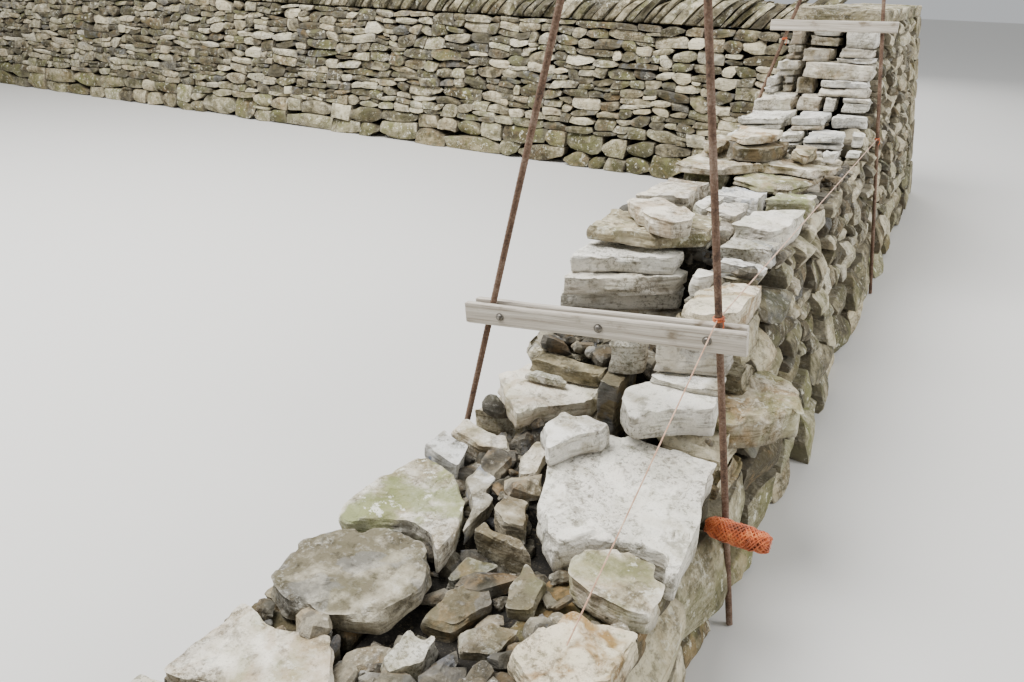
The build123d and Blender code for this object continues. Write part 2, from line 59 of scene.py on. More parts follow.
def linear(colour):
    """An sRGB hex colour as linear red, green, blue and alpha."""
    parts = [int(colour[i:i + 2], 16) / 255 for i in (0, 2, 4)]
    return [c / 12.92 if c <= 0.04045 else ((c + 0.055) / 1.055) ** 2.4 for c in parts] + [1.0]


def add(tree, kind, inputs=(), stops=(), **settings):
    """Add a shader node. Settings are its properties, inputs a socket's name with a value or the socket
    linked to it, and stops the places and hex colours of a ramp."""
    made = tree.nodes.new("ShaderNode" + kind)
    for name, value in settings.items():
        setattr(made, name, value)
    for name, value in dict(inputs).items():
        if isinstance(value, bpy.types.NodeSocket):
            tree.links.new(value, made.inputs[name])
        else:
            made.inputs[name].default_value = value
    if stops:
        ramp = made.color_ramp.elements
        for position, colour in stops:
            ramp.new(position).color = linear(colour)
        ramp.remove(ramp[0])
        ramp.remove(ramp[-1])
    return made


def new_material(name, **surface):
    """A material of one Principled shader, with these values on its sockets. Returns it, its node tree and
    its shader."""
    material = bpy.data.materials.new(name)
    material.use_nodes = True
    shader = material.node_tree.nodes["Principled BSDF"]
    for socket, value in surface.items():
        shader.inputs[socket.replace("_", " ")].default_value = value
    return material, material.node_tree, shader


floor_paint = new_material("pale_studio_floor", Roughness=0.85, Base_Color=linear("d9d7d2"))[0]
floor_reach = 40.0
floor_mesh = bpy.data.meshes.new("studio_floor")
floor_corners = [(floor_reach * x, floor_reach * y, 0) for x, y in ((-1, -1), (1, -1), (1, 1), (-1, 1))]
floor_mesh.from_pydata(floor_corners, [], [(0, 1, 2, 3)])
floor_mesh.materials.append(floor_paint)
floor = bpy.data.objects.new("studio_floor", floor_mesh)
bpy.context.scene.collection.objects.link(floor)
floor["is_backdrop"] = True

world = bpy.data.worlds.new("overcast")
world.use_nodes = True
world.node_tree.nodes["Background"].inputs["Color"].default_value = linear("eef1f4")
world.node_tree.nodes["Background"].inputs["Strength"].default_value = 0.62
bpy.context.scene.world = world

lit_place = np.array((-2.0, -2.0, 0.5))
for name, place, size, power in (
        ("sky_panel", (-3.5, -5.0, 6.5), 5.5, 1150.0),
        ("side_panel", (6.5, -1.5, 4.0), 4.0, 430.0),
        ("far_side_panel", (-3.0, 7.0, 5.0), 6.0, 420.0)):
    light = bpy.data.lights.new(name, "AREA")
    light.shape = "DISK"
    light.size = size
    light.energy = power
    lamp = bpy.data.objects.new(name, light)
    aim = lit_place - np.array(place)
    tilt, heading = math.acos(-aim[2] / np.linalg.norm(aim)), math.atan2(aim[1], aim[0])
    lamp.location = place
    lamp.rotation_euler = (tilt, 0, heading - math.pi / 2)
    bpy.context.scene.collection.objects.link(lamp)

# The camera stands where the two wall faces, the cope and the two batter frames agree. Its focal length is in
# pixels
photo_width, focal_pixels, sensor_width = 1024, 800.79, 36.0
camera_place = (0.59276, -5.91303, 1.3)
pitch, yaw, roll = math.radians(24.489), math.radians(28.450), math.radians(1.846)
camera_data = bpy.data.cameras.new("photo_view")
camera_data.sensor_width = sensor_width
camera_data.lens = focal_pixels / photo_width * sensor_width
camera_data.clip_start = 0.05
camera = bpy.data.objects.new("photo_view", camera_data)
ahead = np.array((-math.sin(yaw) * math.cos(pitch), math.cos(yaw) * math.cos(pitch), -math.sin(pitch)))
right = np.array((math.cos(yaw), math.sin(yaw), 0.0))
above = np.cross(right, ahead)
pose = np.eye(4)
pose[:3, 0] = right * math.cos(roll) + above * math.sin(roll)
pose[:3, 1] = above * math.cos(roll) - right * math.sin(roll)
pose[:3, 2] = -ahead
pose[:3, 3] = camera_place
camera.matrix_world = Matrix(pose.tolist())
bpy.context.scene.collection.objects.link(camera)
bpy.context.scene.camera = camera

# Limestone of the whole wall: hard grey carboniferous limestone, gathered and split by hand.
# Old faces are grey-beige with olive and white lichen, broken ones cream to blue-grey.
# The making gives matt, pitted faces, each stone a little apart in tone from the next.
painted = ("tone", "warm", "lichen", "fresh", "rim")


def weighed_sum(tree, start, *parts):
    """The start plus each value times its weight. Each of them is a number or a socket."""
    total = start
    for value, weight in parts:
        terms = {0: value, 1: weight, 2: total}
        total = add(tree, "Math", terms, operation="MULTIPLY_ADD").outputs[0]
    return total


def limestone(name, shadow, middle, pale, film, crust, arris, turned=0.0):
    """Rough broken limestone. Every stone has its own tone, warmth, lichen and freshness painted on it, and
    rim is 1 in the joints. Its natural beds lie level, or are turned about Y by an angle. arris is how much
    paler worn edges are."""
    material, tree, shader = new_material(name, Roughness=0.93)
    place = add(tree, "TexCoord").outputs["Object"]
    surface = add(tree, "NewGeometry")
    value = {n: add(tree, "Attribute", attribute_name=n).outputs["Fac"] for n in painted}
    value["convex"] = surface.outputs["Pointiness"]
    value["upward"] = add(tree, "SeparateXYZ", {0: surface.outputs["Normal"]}).outputs[2]
    value["height"] = add(tree, "SeparateXYZ", {0: place}).outputs[2]

    # Noise that differs from stone to stone, by its size in metres, detail, offset, roughness and distortion
    for noise, size, detail, offset, rough, distortion in (
            ("patch", 0.18, 3, 0, 0.6, 0.4),
            ("mottle", 0.05, 5, 0, 0.6, 0.3),
            ("grain", 0.012, 4, 0, 0.6, 0.0),
            ("pit", 0.004, 2, 0, 0.6, 0.0),
            ("crumb", 0.009, 4, 0, 0.75, 0.0),
            ("blotch", 0.035, 6, 5, 0.72, 0.0),
            ("iron", 0.11, 4, 11, 0.6, 1.2),
            ("split", 0.10, 3, 17, 0.5, 0.6),
            ("damp", 0.14, 4, 23, 0.6, 0.8),
            ("rising", 0.3, 3, 29, 0.6, 0.0),
            ("spot", 0.03, 5, 31, 0.7, 0.0),
            ("lost_skin", 0.16, 3, 47, 0.6, 0.8)):
        own_shift = weighed_sum(tree, offset, (value["tone"], 37.0))
        settings = {"Vector": place, "W": own_shift, "Scale": 1 / size, "Detail": detail, "Roughness": rough,
                    "Distortion": distortion}
        value[noise] = add(tree, "TexNoise", settings, noise_dimensions="4D").outputs[0]
    # The natural beds are 7 mm apart, and an eighth as fine along the bed
    flat = add(tree, "Mapping", {"Vector": place, "Rotation": (0, turned, 0), "Scale": (8, 8, 1)},
               vector_type="TEXTURE").outputs[0]
    bed_settings = {"Vector": flat, "Scale": 1 / 0.007, "Detail": 3}
    value["bed"] = add(tree, "TexNoise", bed_settings).outputs[0]
    # How far the joints darken the stone, by dirt and by painted shade: rim plus mottling
    value["soil_and_shade_level"] = weighed_sum(tree, -0.35, (value["mottle"], 0.7), (value["rim"], 1.0))

    # Where each mark shows: a smooth step from 0 at the first level to 1 at the second
    shows = {}
    for mark, source, start, end in (
            ("iron_stain", "iron", 0.47, 0.60),
            ("fresh_patches", "split", 0.54, 0.58),
            ("cream_grain", "grain", 0.54, 0.68),
            ("pits", "pit", 0.56, 0.70),
            ("crumbling", "lost_skin", 0.50, 0.57),
            # The hollow places between the crumb grains get painted shade, and the raised grains a painted
            # highlight
            ("painted_shade_in_hollows", "crumb", 0.51, 0.60),
            ("painted_highlight_on_crumbs", "crumb", 0.47, 0.38),
            ("blotches", "blotch", 0.51, 0.64),
            # Faces that turn away from the sky are painted darker here, as painted shade
            ("painted_side_shade", "upward", 0.75, 0.1),
            ("broken_side", "upward", 0.8, 0.45),
            ("bed_lines", "bed", 0.52, 0.66),
            ("damp_patches", "damp", 0.46, 0.60),
            ("open_to_rain", "upward", -0.3, 0.9),
            ("near_ground", "height", 0.5, 0.05),
            ("rising_damp", "rising", 0.40, 0.55),
            ("crust_spots", "spot", 0.57, 0.62),
            ("worn_arrises", "convex", 0.53, 0.62),
            ("joint_soil_and_shade", "soil_and_shade_level", 0.35, 1.05)):
        levels = {"Value": value[source], "From Min": start, "From Max": end}
        shows[mark] = add(tree, "MapRange", levels, interpolation_type="SMOOTHSTEP").outputs[0]
    rained_on = weighed_sum(tree, 0.5, (shows["open_to_rain"], 0.4))
    half_risen = weighed_sum(tree, 0.0, (shows["rising_damp"], 0.5))
    wet = weighed_sum(tree, 0.0, (shows["damp_patches"], rained_on), (shows["near_ground"], half_risen))

    # The stone's body, then each mark over it: its colour, how it is laid on, and the shares that give how
    # strongly
    level = weighed_sum(tree, -1.75, (value["tone"], 1.2), (value["mottle"], 1.5), (value["patch"], 1.8))
    colour = add(tree, "ValToRGB", {"Fac": level},
                 stops=((0.18, shadow), (0.48, middle), (0.84, pale))).outputs[0]
    for tint, how, *shares in (
            # Iron stain in patches, blue-grey where the stone is freshly split, cream grain and dark pits
            ("a5875a", "MIX", shows["iron_stain"], value["warm"]),
            ("868d9a", "MIX", shows["fresh_patches"], value["fresh"]),
            ("f0ebde", "MIX", shows["cream_grain"], value["tone"], 0.45),
            ("686050", "MIX", shows["pits"], 0.4),
            # Crumbling patches, where the skin has gone: raised grains of 9 mm with a painted highlight on
            # them, and painted shade in the dark hollow places between them
            ("6a5f49", "MIX", shows["crumbling"], shows["painted_shade_in_hollows"], 0.65),
            ("f1ecdf", "MIX", shows["crumbling"], shows["painted_highlight_on_crumbs"], value["tone"]),
            # Darker weathered blotches with soft ragged edges
            (shadow, "MULTIPLY", shows["blotches"], 0.6),
            # Broken sides are darker than the tops, a painted shade of the light from above, and show the
            # beds as fine lines
            ("6b6456", "MULTIPLY", shows["painted_side_shade"], 0.22),
            ("6f6753", "MULTIPLY", shows["broken_side"], shows["bed_lines"], 0.45),
            # The stone's own warmth, all through it, or the cool grey of a fresh one
            ("ead6ae", "MULTIPLY", value["warm"], 0.6),
            ("c6cbd8", "MULTIPLY", value["fresh"], 0.6),
            # Olive film in damp patches and near the ground, white crusts in spots of about 12 mm
            (film, "MIX", wet, value["lichen"]),
            (crust, "MIX", shows["crust_spots"], value["lichen"]),
            # Worn arrises are paler, and joints are darker with dirt and with painted shade
            ("d8d2c4", "MIX", shows["worn_arrises"], arris),
            ("5a5142", "MIX", shows["joint_soil_and_shade"], 0.7)):
        strength = shares[0]
        for share in shares[1:]:
            strength = add(tree, "Math", {0: strength, 1: share}, operation="MULTIPLY").outputs[0]
        colour = add(tree, "Mix", {0: strength, 6: colour, 7: linear(tint)}, data_type="RGBA",
                     blend_type=how).outputs[2]
    tree.links.new(colour, shader.inputs["Base Color"])

    # Relief in metres: pits, grain and mottling, hollows between the crumbs, and grooves along the beds
    hollow = weighed_sum(tree, 0.0, (value["crumb"], -0.009))
    groove = weighed_sum(tree, 0.0, (value["bed"], -0.005))
    relief = weighed_sum(tree, 0.0, (value["pit"], 0.0016), (value["grain"], 0.005), (value["mottle"], 0.010),
                         (hollow, shows["crumbling"]), (groove, shows["broken_side"]))
    bump = add(tree, "Bump", {"Height": relief, "Strength": 0.9, "Distance": 1.0})
    tree.links.new(bump.outputs[0], shader.inputs["Normal"])
    return material


old_limestone = limestone("lichened_old_limestone", "4d4630", "998f72", "ded4b6", "6f6f42", "e2dfca", 0.15)
split_limestone = limestone("split_limestone", "6f6751", "b5ac95", "f8f4e8", "868c56", "ecead9", 0.3)
# Darker than the faces: partly the rubble's own soiled colour, partly painted shade of the gaps it lies in
rubble_stone_with_gap_shade = limestone("hearting_rubble", "332e24", "605949", "9b937f", "4d4a32", "a09d8c", 0.1)
cope_stone = limestone("cope_limestone", "453f2b", "8f866a", "d8ceb0", "676839", "e2dfca", 0.15,
                       math.radians(-47))
# Nearly black: painted shade for the hearting seen deep in the joints
hearting_in_painted_shade = limestone("hearting_painted_as_shade", "1f1b14", "37322a", "5a5447", "2f2d20", "5a5447", 0.0)


def lattice(p, seed):
    """Value noise from 0 to 1: each whole-number point has a random value, blended between points by 3t^2 -
    2t^3."""
    cell = np.floor(p).astype(np.int64)
    t = p - cell
    t = t * t * (3 - 2 * t)
    total = 0.0
    for corner in np.ndindex(2, 2, 2):
        c = cell + corner
        h = c[..., 0] * 73856093 ^ c[..., 1] * 19349663 ^ c[..., 2] * 83492791 ^ seed * 7919
        h = (h ^ h >> 13) * 1274126177 & 0x7FFFFFFF
        value = ((h ^ h >> 15) & 0xFFFF) / 65535
        total = total + value * np.prod(np.where(corner, t, 1 - t), axis=-1)
    return total


def broken(p, size, seed, octaves=3):
    """A broken surface from 0 to 1: lattice noise of one size plus halves of it at half the size."""
    total, weight = 0.0, 0.0
    for octave in range(octaves):
        total = total + lattice(np.asarray(p) / size * 2.0 ** octave, seed + octave) * 0.5 ** octave
        weight += 0.5 ** octave
    return total / weight


def mesh_piece(name, points, corners, sizes, paint, material, nodes, crisp):
    """Make a piece of points and faces, which are corner numbers and face sizes, in place of these CAD nodes.
    paint gives attributes a value for each point, and breaks are sharp where faces turn by more than crisp
    degrees."""
    mesh = bpy.data.meshes.new(name)
    mesh.vertices.add(len(points))
    mesh.vertices.foreach_set("co", points.astype(np.float32).ravel())
    mesh.loops.add(len(corners))
    mesh.loops.foreach_set("vertex_index", corners.astype(np.int32))
    mesh.polygons.add(len(sizes))
    mesh.polygons.foreach_set("loop_start", (np.cumsum(sizes) - sizes).astype(np.int32))
    mesh.polygons.foreach_set("use_smooth", np.full(len(sizes), True))
    for attribute, values in paint.items():
        mesh.attributes.new(attribute, "FLOAT", "POINT").data.foreach_set("value", values.astype(np.float32))
    mesh.update(calc_edges=True)
    mesh.validate()
    mesh.set_sharp_from_angle(angle=math.radians(crisp))
    mesh.materials.append(material)
    made = bpy.data.objects.new(name, mesh)
    bpy.context.scene.collection.objects.link(made)
    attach(made, "root")
    if nodes:
        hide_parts(*nodes)


class Heap:
    """Stones gathered into one mesh: their points, their faces as corner numbers and face sizes, and their
    paint."""

    def __init__(self):
        self.points, self.corners, self.sizes, self.paint = [], [], [], []
        self.count = 0

    def put(self, points, corners, sizes, rim, looks):
        """Add stones that share faces. points is stones by points by 3, and looks gives the tone, warmth,
        lichen and freshness of each stone."""
        stones, each = points.shape[:2]
        offsets = self.count + np.arange(stones) * each
        self.points.append(points.reshape(-1, 3))
        self.corners.append((offsets[:, None] + corners[None]).ravel())
        self.sizes.append(np.tile(sizes, stones))
        paint = np.concatenate([np.repeat(looks[:, None, :], each, 1), rim.reshape(stones, each, 1)], axis=2)
        self.paint.append(paint.reshape(-1, len(painted)))
        self.count += stones * each

    def piece(self, name, nodes, crisp=34, material=old_limestone):
        """Make the gathered stones one piece."""
        gathered = self.points, self.corners, self.sizes, self.paint
        points, corners, sizes, paint = (np.concatenate(a) for a in gathered)
        mesh_piece(name, points, corners, sizes, dict(zip(painted, paint.T)), material, nodes, crisp)


def looks_of(rng, count, tone=(0.5, 0.17), warm=0.35, lichen=0.5, fresh=0.0):
    """Tone, warmth, lichen and freshness of each stone, spread at random about the given values."""
    return np.stack([np.clip(rng.normal(*tone, count), 0.03, 1.0), warm * rng.random(count) ** 2,
                     lichen * rng.random(count), fresh * rng.random(count)], axis=1)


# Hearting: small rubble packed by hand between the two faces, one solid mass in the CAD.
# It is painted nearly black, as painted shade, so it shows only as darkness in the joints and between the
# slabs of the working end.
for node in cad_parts:
    if "hearting" in node:
        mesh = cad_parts[node].data
        mesh.materials.clear()
        mesh.materials.append(hearting_in_painted_shade)

# Faces of the boundary wall: thin flat limestone, laid without mortar, each stone bedded on
# two below with its length into the wall. Both faces lean in by 147 mm in each metre.
half_base, batter = 0.36, 0.147
footing_top, wall_top, line_level, leg_top = 0.24, 1.02, 0.64, 1.15
wall_end, leg_end = -9.6, -5.6
head_depth, head_footing_depth = 0.36, 0.30
cell = 0.01


def half(z):
    """Half the width of the wall at height z."""
    return half_base - batter * z


def cells_of(length):
    """How many cells there are in a length."""
    return round(length / cell)


def lay(rng, start, tops, low, lengths, heights):
    """Lay stones one by one in the lowest gap until they reach tops, which holds a height for each cell.
    lengths and heights are the least, usual and most. Returns the left, right, bottom and top of each
    stone."""
    least_step, same = 0.02, 0.001
    shortest, usual, longest = lengths
    thinnest, thickest = heights[0], heights[2]
    tops = np.asarray(tops, float)
    level = np.full(len(tops), low)
    stones = []
    while (level < tops - same).any():
        open_cells = level < tops - same
        lowest = level[open_cells].min()
        at = int(np.flatnonzero(open_cells & (level < lowest + same))[0])
        alike = (np.abs(level - lowest) < same) & (np.abs(tops - tops[at]) < same)
        ends = np.flatnonzero(~alike[at:])
        stop = at + int(ends[0]) if len(ends) else len(level)
        room = (stop - at) * cell
        length = float(np.clip(rng.lognormal(math.log(usual), 0.38), shortest, longest))
        if room < length + shortest:
            length = room if room <= longest else room / 2
        cells = max(1, round(length / cell))
        height = float(rng.triangular(*heights)) * (0.8 + 0.35 * min(1.0, length / usual))
        # A stone comes level with the one beside it where it nearly does, or where the gap is narrow
        sides = [level[at - 1]] if at else []
        sides += [level[stop]] if stop < len(level) and cells == stop - at else []
        for side in sides:
            narrow = side > lowest + least_step and room < 1.3 * shortest
            if (abs(lowest + height - side) < 0.022 or narrow) and side - lowest > least_step:
                height = side - lowest
        if tops[at] - lowest - height < thinnest:
            height = tops[at] - lowest if tops[at] - lowest < 1.25 * thickest else (tops[at] - lowest) / 2
        stones.append((start + at * cell, start + (at + cells) * cell, lowest, lowest + height))
        level[at:at + cells] = lowest + height
    return np.array(stones)


def block_faces(across, up):
    """Corner numbers and sizes of the faces of one face stone: a grid for its front, a ring of sides and one
    face behind. Also the points round the front."""
    grid = np.arange(across * up).reshape(across, up)
    front = np.stack([grid[:-1, :-1], grid[1:, :-1], grid[1:, 1:], grid[:-1, 1:]], -1).reshape(-1, 4)
    rim = np.concatenate([grid[:-1, 0], grid[-1, :-1], grid[:0:-1, -1], grid[0, :0:-1]])
    back = across * up + np.arange(len(rim))
    sides = np.stack([rim, back, np.roll(back, -1), np.roll(rim, -1)], -1)
    corners = np.concatenate([front.ravel(), sides.ravel(), back[::-1]])
    return corners, np.concatenate([np.full(len(front) + len(sides), 4), [len(back)]]), rim


def grid_steps(count):
    """Places from -1 to 1 across a front, with a narrow step at each end for the arris."""
    return np.concatenate([[-1], np.linspace(-0.92, 0.92, count - 2), [1]])


def face_stones(rng, cells, across=7, up=6, gap=0.003, depth=0.09, proud=0.012, slope=0.36, seed=1):
    """Stones of a wall face as u along it, z up it and w out of it. s and t run from -1 to 1 over the front,
    closer together at the rim, which is a narrow broken arris. The corners of the square of s and t are cut
    off straight, it is squeezed into the stone's place, turned a little in it, and shifted by a wave that all
    the stones share, so that they still fit. w is the lowest of four slanting planes, so each front is a few
    flat breaks."""
    count = len(cells)
    corners, sizes, rim = block_faces(across, up)
    s, t = (a.ravel()[None] for a in np.meshgrid(grid_steps(across), grid_steps(up), indexing="ij"))
    left, right, low, high = (cells[:, i:i + 1] for i in range(4))
    gap = gap * rng.uniform(-1.6, 1.4, (count, 1))
    wide, tall = (right - left - gap) / 2, (high - low - gap) / 2
    soft = rng.uniform(0.0, 0.05, (count, 1))
    x, y = s * np.sqrt(1 - soft * t * t / 2), t * np.sqrt(1 - soft * s * s / 2)
    for sign_s, sign_t in ((-1, -1), (-1, 1), (1, -1), (1, 1)):
        cut = 0.5 * rng.random((count, 1)) ** 2
        beyond = np.clip(sign_s * s + sign_t * t - 2 + 2 * cut, 0, None)
        x, y = x - sign_s * 0.45 * beyond, y - sign_t * 0.55 * beyond
    # Ends that slant, tops that fall and beds that rise a little to one side, and a small turn
    x = x + rng.normal(0, 0.20, (count, 1)) * t * (0.05 / np.maximum(wide, 0.05))
    for sign_t in (-1, 1):
        falling = 0.26 * rng.random((count, 1)) ** 1.5 * (1 + rng.choice([-1, 1], (count, 1)) * s) / 2
        y = np.where(sign_t * t > 0, y * (1 - falling), y)
    turn = rng.normal(0, 0.035, (count, 1))
    u = (left + right) / 2 + wide * x - turn * tall * y
    z = (low + high) / 2 + tall * y + turn * wide * x
    # The front: flat breaks, a rim set back, a top that slopes off, and broken noise of 35 mm
    planes = [rng.uniform(0, 0.009, (count, 1)) + rng.normal(0, 0.14, (count, 1)) * wide * x
              + rng.normal(0, slope, (count, 1)) * tall * y for _ in range(4)]
    edge = np.maximum(np.abs(s), np.abs(t))
    w = np.minimum.reduce(planes) + proud * rng.uniform(-1.2, 0.8, (count, 1))
    w = w - rng.uniform(0.001, 0.006, (count, 1)) * (edge > 0.99)
    w = w - rng.uniform(0.0, 1.4 * proud, (count, 1)) * np.clip((t - 0.3) / 0.7, 0, 1)
    w = w + 0.010 * (broken(np.stack([u, z, w * 0 + 3.0], -1), 0.035, seed, 2) - 0.5)
    w = np.minimum(w, 0.008 + 0.8 * proud)
    # The tail: the rim again, drawn in a little and as deep as the stone goes into the wall
    rim_u, rim_z = u[:, rim], z[:, rim]
    u = np.concatenate([u, rim_u + ((left + right) / 2 - rim_u) * 0.08], 1)
    z = np.concatenate([z, rim_z + ((low + high) / 2 - rim_z) * 0.10], 1)
    w = np.concatenate([w, -depth * rng.uniform(0.7, 1.1, (count, 1)) + 0 * rim_u], 1)
    # The rim and the tail are darkened by dirt and by painted shade in the joints
    dirt_and_painted_shade = np.concatenate([np.broadcast_to(0.8 * edge ** 10, (count, edge.size)), np.ones_like(rim_u)], 1)
    # The shared wave fades out within 60 mm of the ends, the bed and the top of the face
    fade = 0.06
    wave = np.stack([u, z, 0 * u], -1)
    u_shift = (0.030 * (broken(wave, 0.20, seed + 7, 2) - 0.5)
               + 0.010 * (broken(wave, 0.08, seed + 8, 1) - 0.5))
    z_shift = (0.046 * (broken(wave, 0.28, seed + 9, 2) - 0.5)
               + 0.012 * (broken(wave, 0.07, seed + 10, 1) - 0.5))
    u_shift *= np.clip(np.minimum(u - left.min(), right.max() - u) / fade, 0, 1)
    z_shift *= np.clip(np.minimum(z - low.min(), high.max() - z) / fade, 0, 1)
    u, z = np.clip(u + u_shift, left.min(), right.max()), np.clip(z + z_shift, low.min(), high.max())
    return u, z, w, dirt_and_painted_shade, corners, sizes


def stand(along, side, u, z, w):
    """Points of a face: along the boundary wall or the leg, out of the battered side by w."""
    out = side * (half(z) + w)
    return np.stack([u, out, z] if along == "wall" else [out, u, z], -1)


def masonry(heap, rng, along, side, cells, looks, out=0.0, **shape):
    """Put the stones of one face on a heap, with their faces outwards on either side of the wall."""
    looks = looks_of(rng, len(cells), *looks)
    u, z, w, dirt_and_painted_shade, corners, sizes = face_stones(rng, cells, **shape)
    if (along == "wall") != (side < 0):
        corners, sizes = corners[::-1], sizes[::-1]
    heap.put(stand(along, side, u, z, w + out), corners, sizes, dirt_and_painted_shade, looks)


thin_lengths, thin_heights = (0.06, 0.16, 0.40), (0.022, 0.042, 0.10)
head_joint = wall_end + head_depth
for node, side, seed, end in (
        ("boundary_front_face", -1, 21, -half(wall_top)),
        ("boundary_back_face", 1, 22, -half(footing_top))):
    rng = np.random.default_rng(seed)
    heap = Heap()
    tops = np.full(cells_of(end - head_joint), wall_top)
    cells = lay(rng, head_joint, tops, footing_top, thin_lengths, thin_heights)
    masonry(heap, rng, "wall", side, cells, ((0.34, 0.32), 0.4, 0.8, 0.3), seed=seed)
    heap.piece(node.replace("face", "stones"), [node], crisp=20)

# Footing of the boundary wall: the largest stones, laid first and straight on the ground.
# They carry both faces and stand a little proud of them.
rng = np.random.default_rng(23)
heap = Heap()
foot_ledge = 0.007
for side, seed in ((-1, 24), (1, 25)):
    first = wall_end + head_footing_depth
    tops = np.full(cells_of(-half(0) - first), footing_top)
    cells = lay(rng, first, tops, 0.0, (0.14, 0.26, 0.52), (0.06, 0.11, 0.17))
    masonry(heap, rng, "wall", side, cells, ((0.42, 0.18), 0.5, 0.9), out=foot_ledge,
            depth=0.2, proud=0.004, seed=seed)
heap.piece("boundary_footing", ["boundary_footing_stones"])

# Head of the boundary wall: squared stones that close its far end, laid dry.
# Long ones lie across the end as ties, in course about with runners along the wall.


def solids(node):
    """The separate solids of a CAD node as (points, triangles). Its loose triangles are joined where points
    coincide."""
    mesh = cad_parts[node].data
    points = np.empty(len(mesh.vertices) * 3, np.float32)
    mesh.vertices.foreach_get("co", points)
    mesh.calc_loop_triangles()
    triangles = np.empty(len(mesh.loop_triangles) * 3, np.int32)
    mesh.loop_triangles.foreach_get("vertices", triangles)
    points, place = np.unique(points.reshape(-1, 3).astype(float).round(5), axis=0, return_inverse=True)
    triangles = place.ravel()[triangles].reshape(-1, 3)
    label = np.arange(len(points))
    while True:
        lower = label.copy()
        np.minimum.at(lower, triangles.ravel(), np.repeat(label[triangles].min(1), 3))
        if (lower == label).all():
            return [(points, triangles[label[triangles[:, 0]] == k]) for k in np.unique(label[triangles])]
        label = lower


def box_of(points, triangles):
    """The lowest and highest x, y and z of a solid, and its own points."""
    used = points[np.unique(triangles)]
    return used.min(0), used.max(0), used


def eight_corners(points, triangles):
    """The eight corners of a block, by low or high x, y and z: each is the point furthest out that way."""
    low, high, used = box_of(points, triangles)
    scaled = (used - (high + low) / 2) / ((high - low) / 2)
    corners = np.zeros((2, 2, 2, 3))
    for way in np.ndindex(2, 2, 2):
        corners[way] = used[np.argmax(scaled @ (np.array(way) * 2 - 1))]
    return corners


def box_skin(parts):
    """Points on the surface of a cube from -1 to 1, closer together at its edges, and the corner numbers of
    its faces. parts is how many faces there are each way."""
    evenly = [np.linspace(-1, 1, n + 1) for n in parts]
    steps = [np.sin(even * math.pi / 2) * 0.45 + even * 0.55 for even in evenly]
    index = np.stack(np.meshgrid(*[np.arange(n + 1) for n in parts], indexing="ij"), -1).reshape(-1, 3)
    skin = ((index == 0) | (index == np.array(parts))).any(1)
    number = np.full(len(index), -1)
    number[skin] = np.arange(skin.sum())
    number = number.reshape([n + 1 for n in parts])
    faces = []
    for axis in range(3):
        for end in (0, parts[axis]):
            sheet = np.take(number, end, axis)
            quads = np.stack([sheet[:-1, :-1], sheet[1:, :-1], sheet[1:, 1:], sheet[:-1, 1:]], -1)
            quads = quads.reshape(-1, 4)
            faces.append(quads if (end > 0) == (axis != 1) else quads[:, ::-1])
    place = np.stack([steps[axis][index[skin][:, axis]] for axis in range(3)], 1)
    return place, np.concatenate(faces)


def between(corners, weight):
    """Points between eight corners, for weights from 0 to 1 each way."""
    points = 0.0
    for way in np.ndindex(2, 2, 2):
        share = np.prod(np.where(way, weight, 1 - weight), axis=1)
        points = points + share[:, None] * corners[way]
    return points


def block(heap, rng, corners, looks, parts=(9, 9, 9), chips=14, chip=0.014, crag=0.006, grain=0.05):
    """A roughly squared stone in a space of eight corners. Planes cut slices off its edges and corners, each
    point beyond a plane going back onto it, and broken noise of size grain pushes it in by up to crag."""
    looks = looks_of(rng, 1, *looks)
    cube, faces = box_skin(parts)
    points = between(corners, (1 + cube) / 2)
    for _ in range(chips):
        way = rng.choice([-1, 0, 1], 3, p=[0.38, 0.24, 0.38]) + rng.normal(0, 0.16, 3)
        way = way / np.linalg.norm(way)
        reach = points @ way
        depth = np.maximum(reach - reach.max() + chip * rng.uniform(0.2, 1.0), 0)
        points = points - depth[:, None] * way
    seed = int(rng.integers(1, 9999))
    out = cube ** 9
    out = out / np.maximum(np.linalg.norm(out, axis=1, keepdims=True), 1e-9)
    dent = crag * (0.7 * broken(points * (1, 1, 1.8), grain, seed, 3)
                   + 0.6 * broken(points, grain * 3, seed + 5, 1))
    points = points - out * dent[:, None]
    # The edges are darkened a little by dirt and by painted shade in the joints
    edge_dirt_and_painted_shade = np.clip((np.abs(cube) > 0.97).sum(1) - 1, 0, 1) * 0.35
    heap.put(points[None], faces.ravel(), np.full(len(faces), 4), edge_dirt_and_painted_shade, looks)


def blocks_piece(name, nodes, seed, looks, parts):
    """One piece of squared stones, each in the space of a solid of these CAD nodes."""
    rng = np.random.default_rng(seed)
    heap = Heap()
    for solid in (solid for node in nodes for solid in solids(node)):
        block(heap, rng, eight_corners(*solid), looks, parts)
    heap.piece(name, nodes)


blocks_piece("head_stones", ["head_footing", "head_ties", "head_runners"], 26, ((0.5, 0.12), 0.5, 0.8),
             (12, 14, 8))

# Cope: rough flat stones on edge across the wall top, packed tight with no mortar and dark with lichen.
# All lean 43 degrees towards the corner, and each stands on a foot cut level.


def outline_of(points, triangles):
    """The corners round the top face of a standing solid, in order, with its bed and its top."""
    high, low = points[triangles][..., 2].max(), points[triangles][..., 2].min()
    cap = triangles[(points[triangles][..., 2] > high - 1e-4).all(1)]
    edges = {(int(t[i]), int(t[(i + 1) % 3])) for t in cap for i in range(3)}
    following = {a: b for a, b in edges if (b, a) not in edges}
    loop = [min(following)]
    while following[loop[-1]] != loop[0]:
        loop.append(following[loop[-1]])
    return points[loop][:, :2], low, high


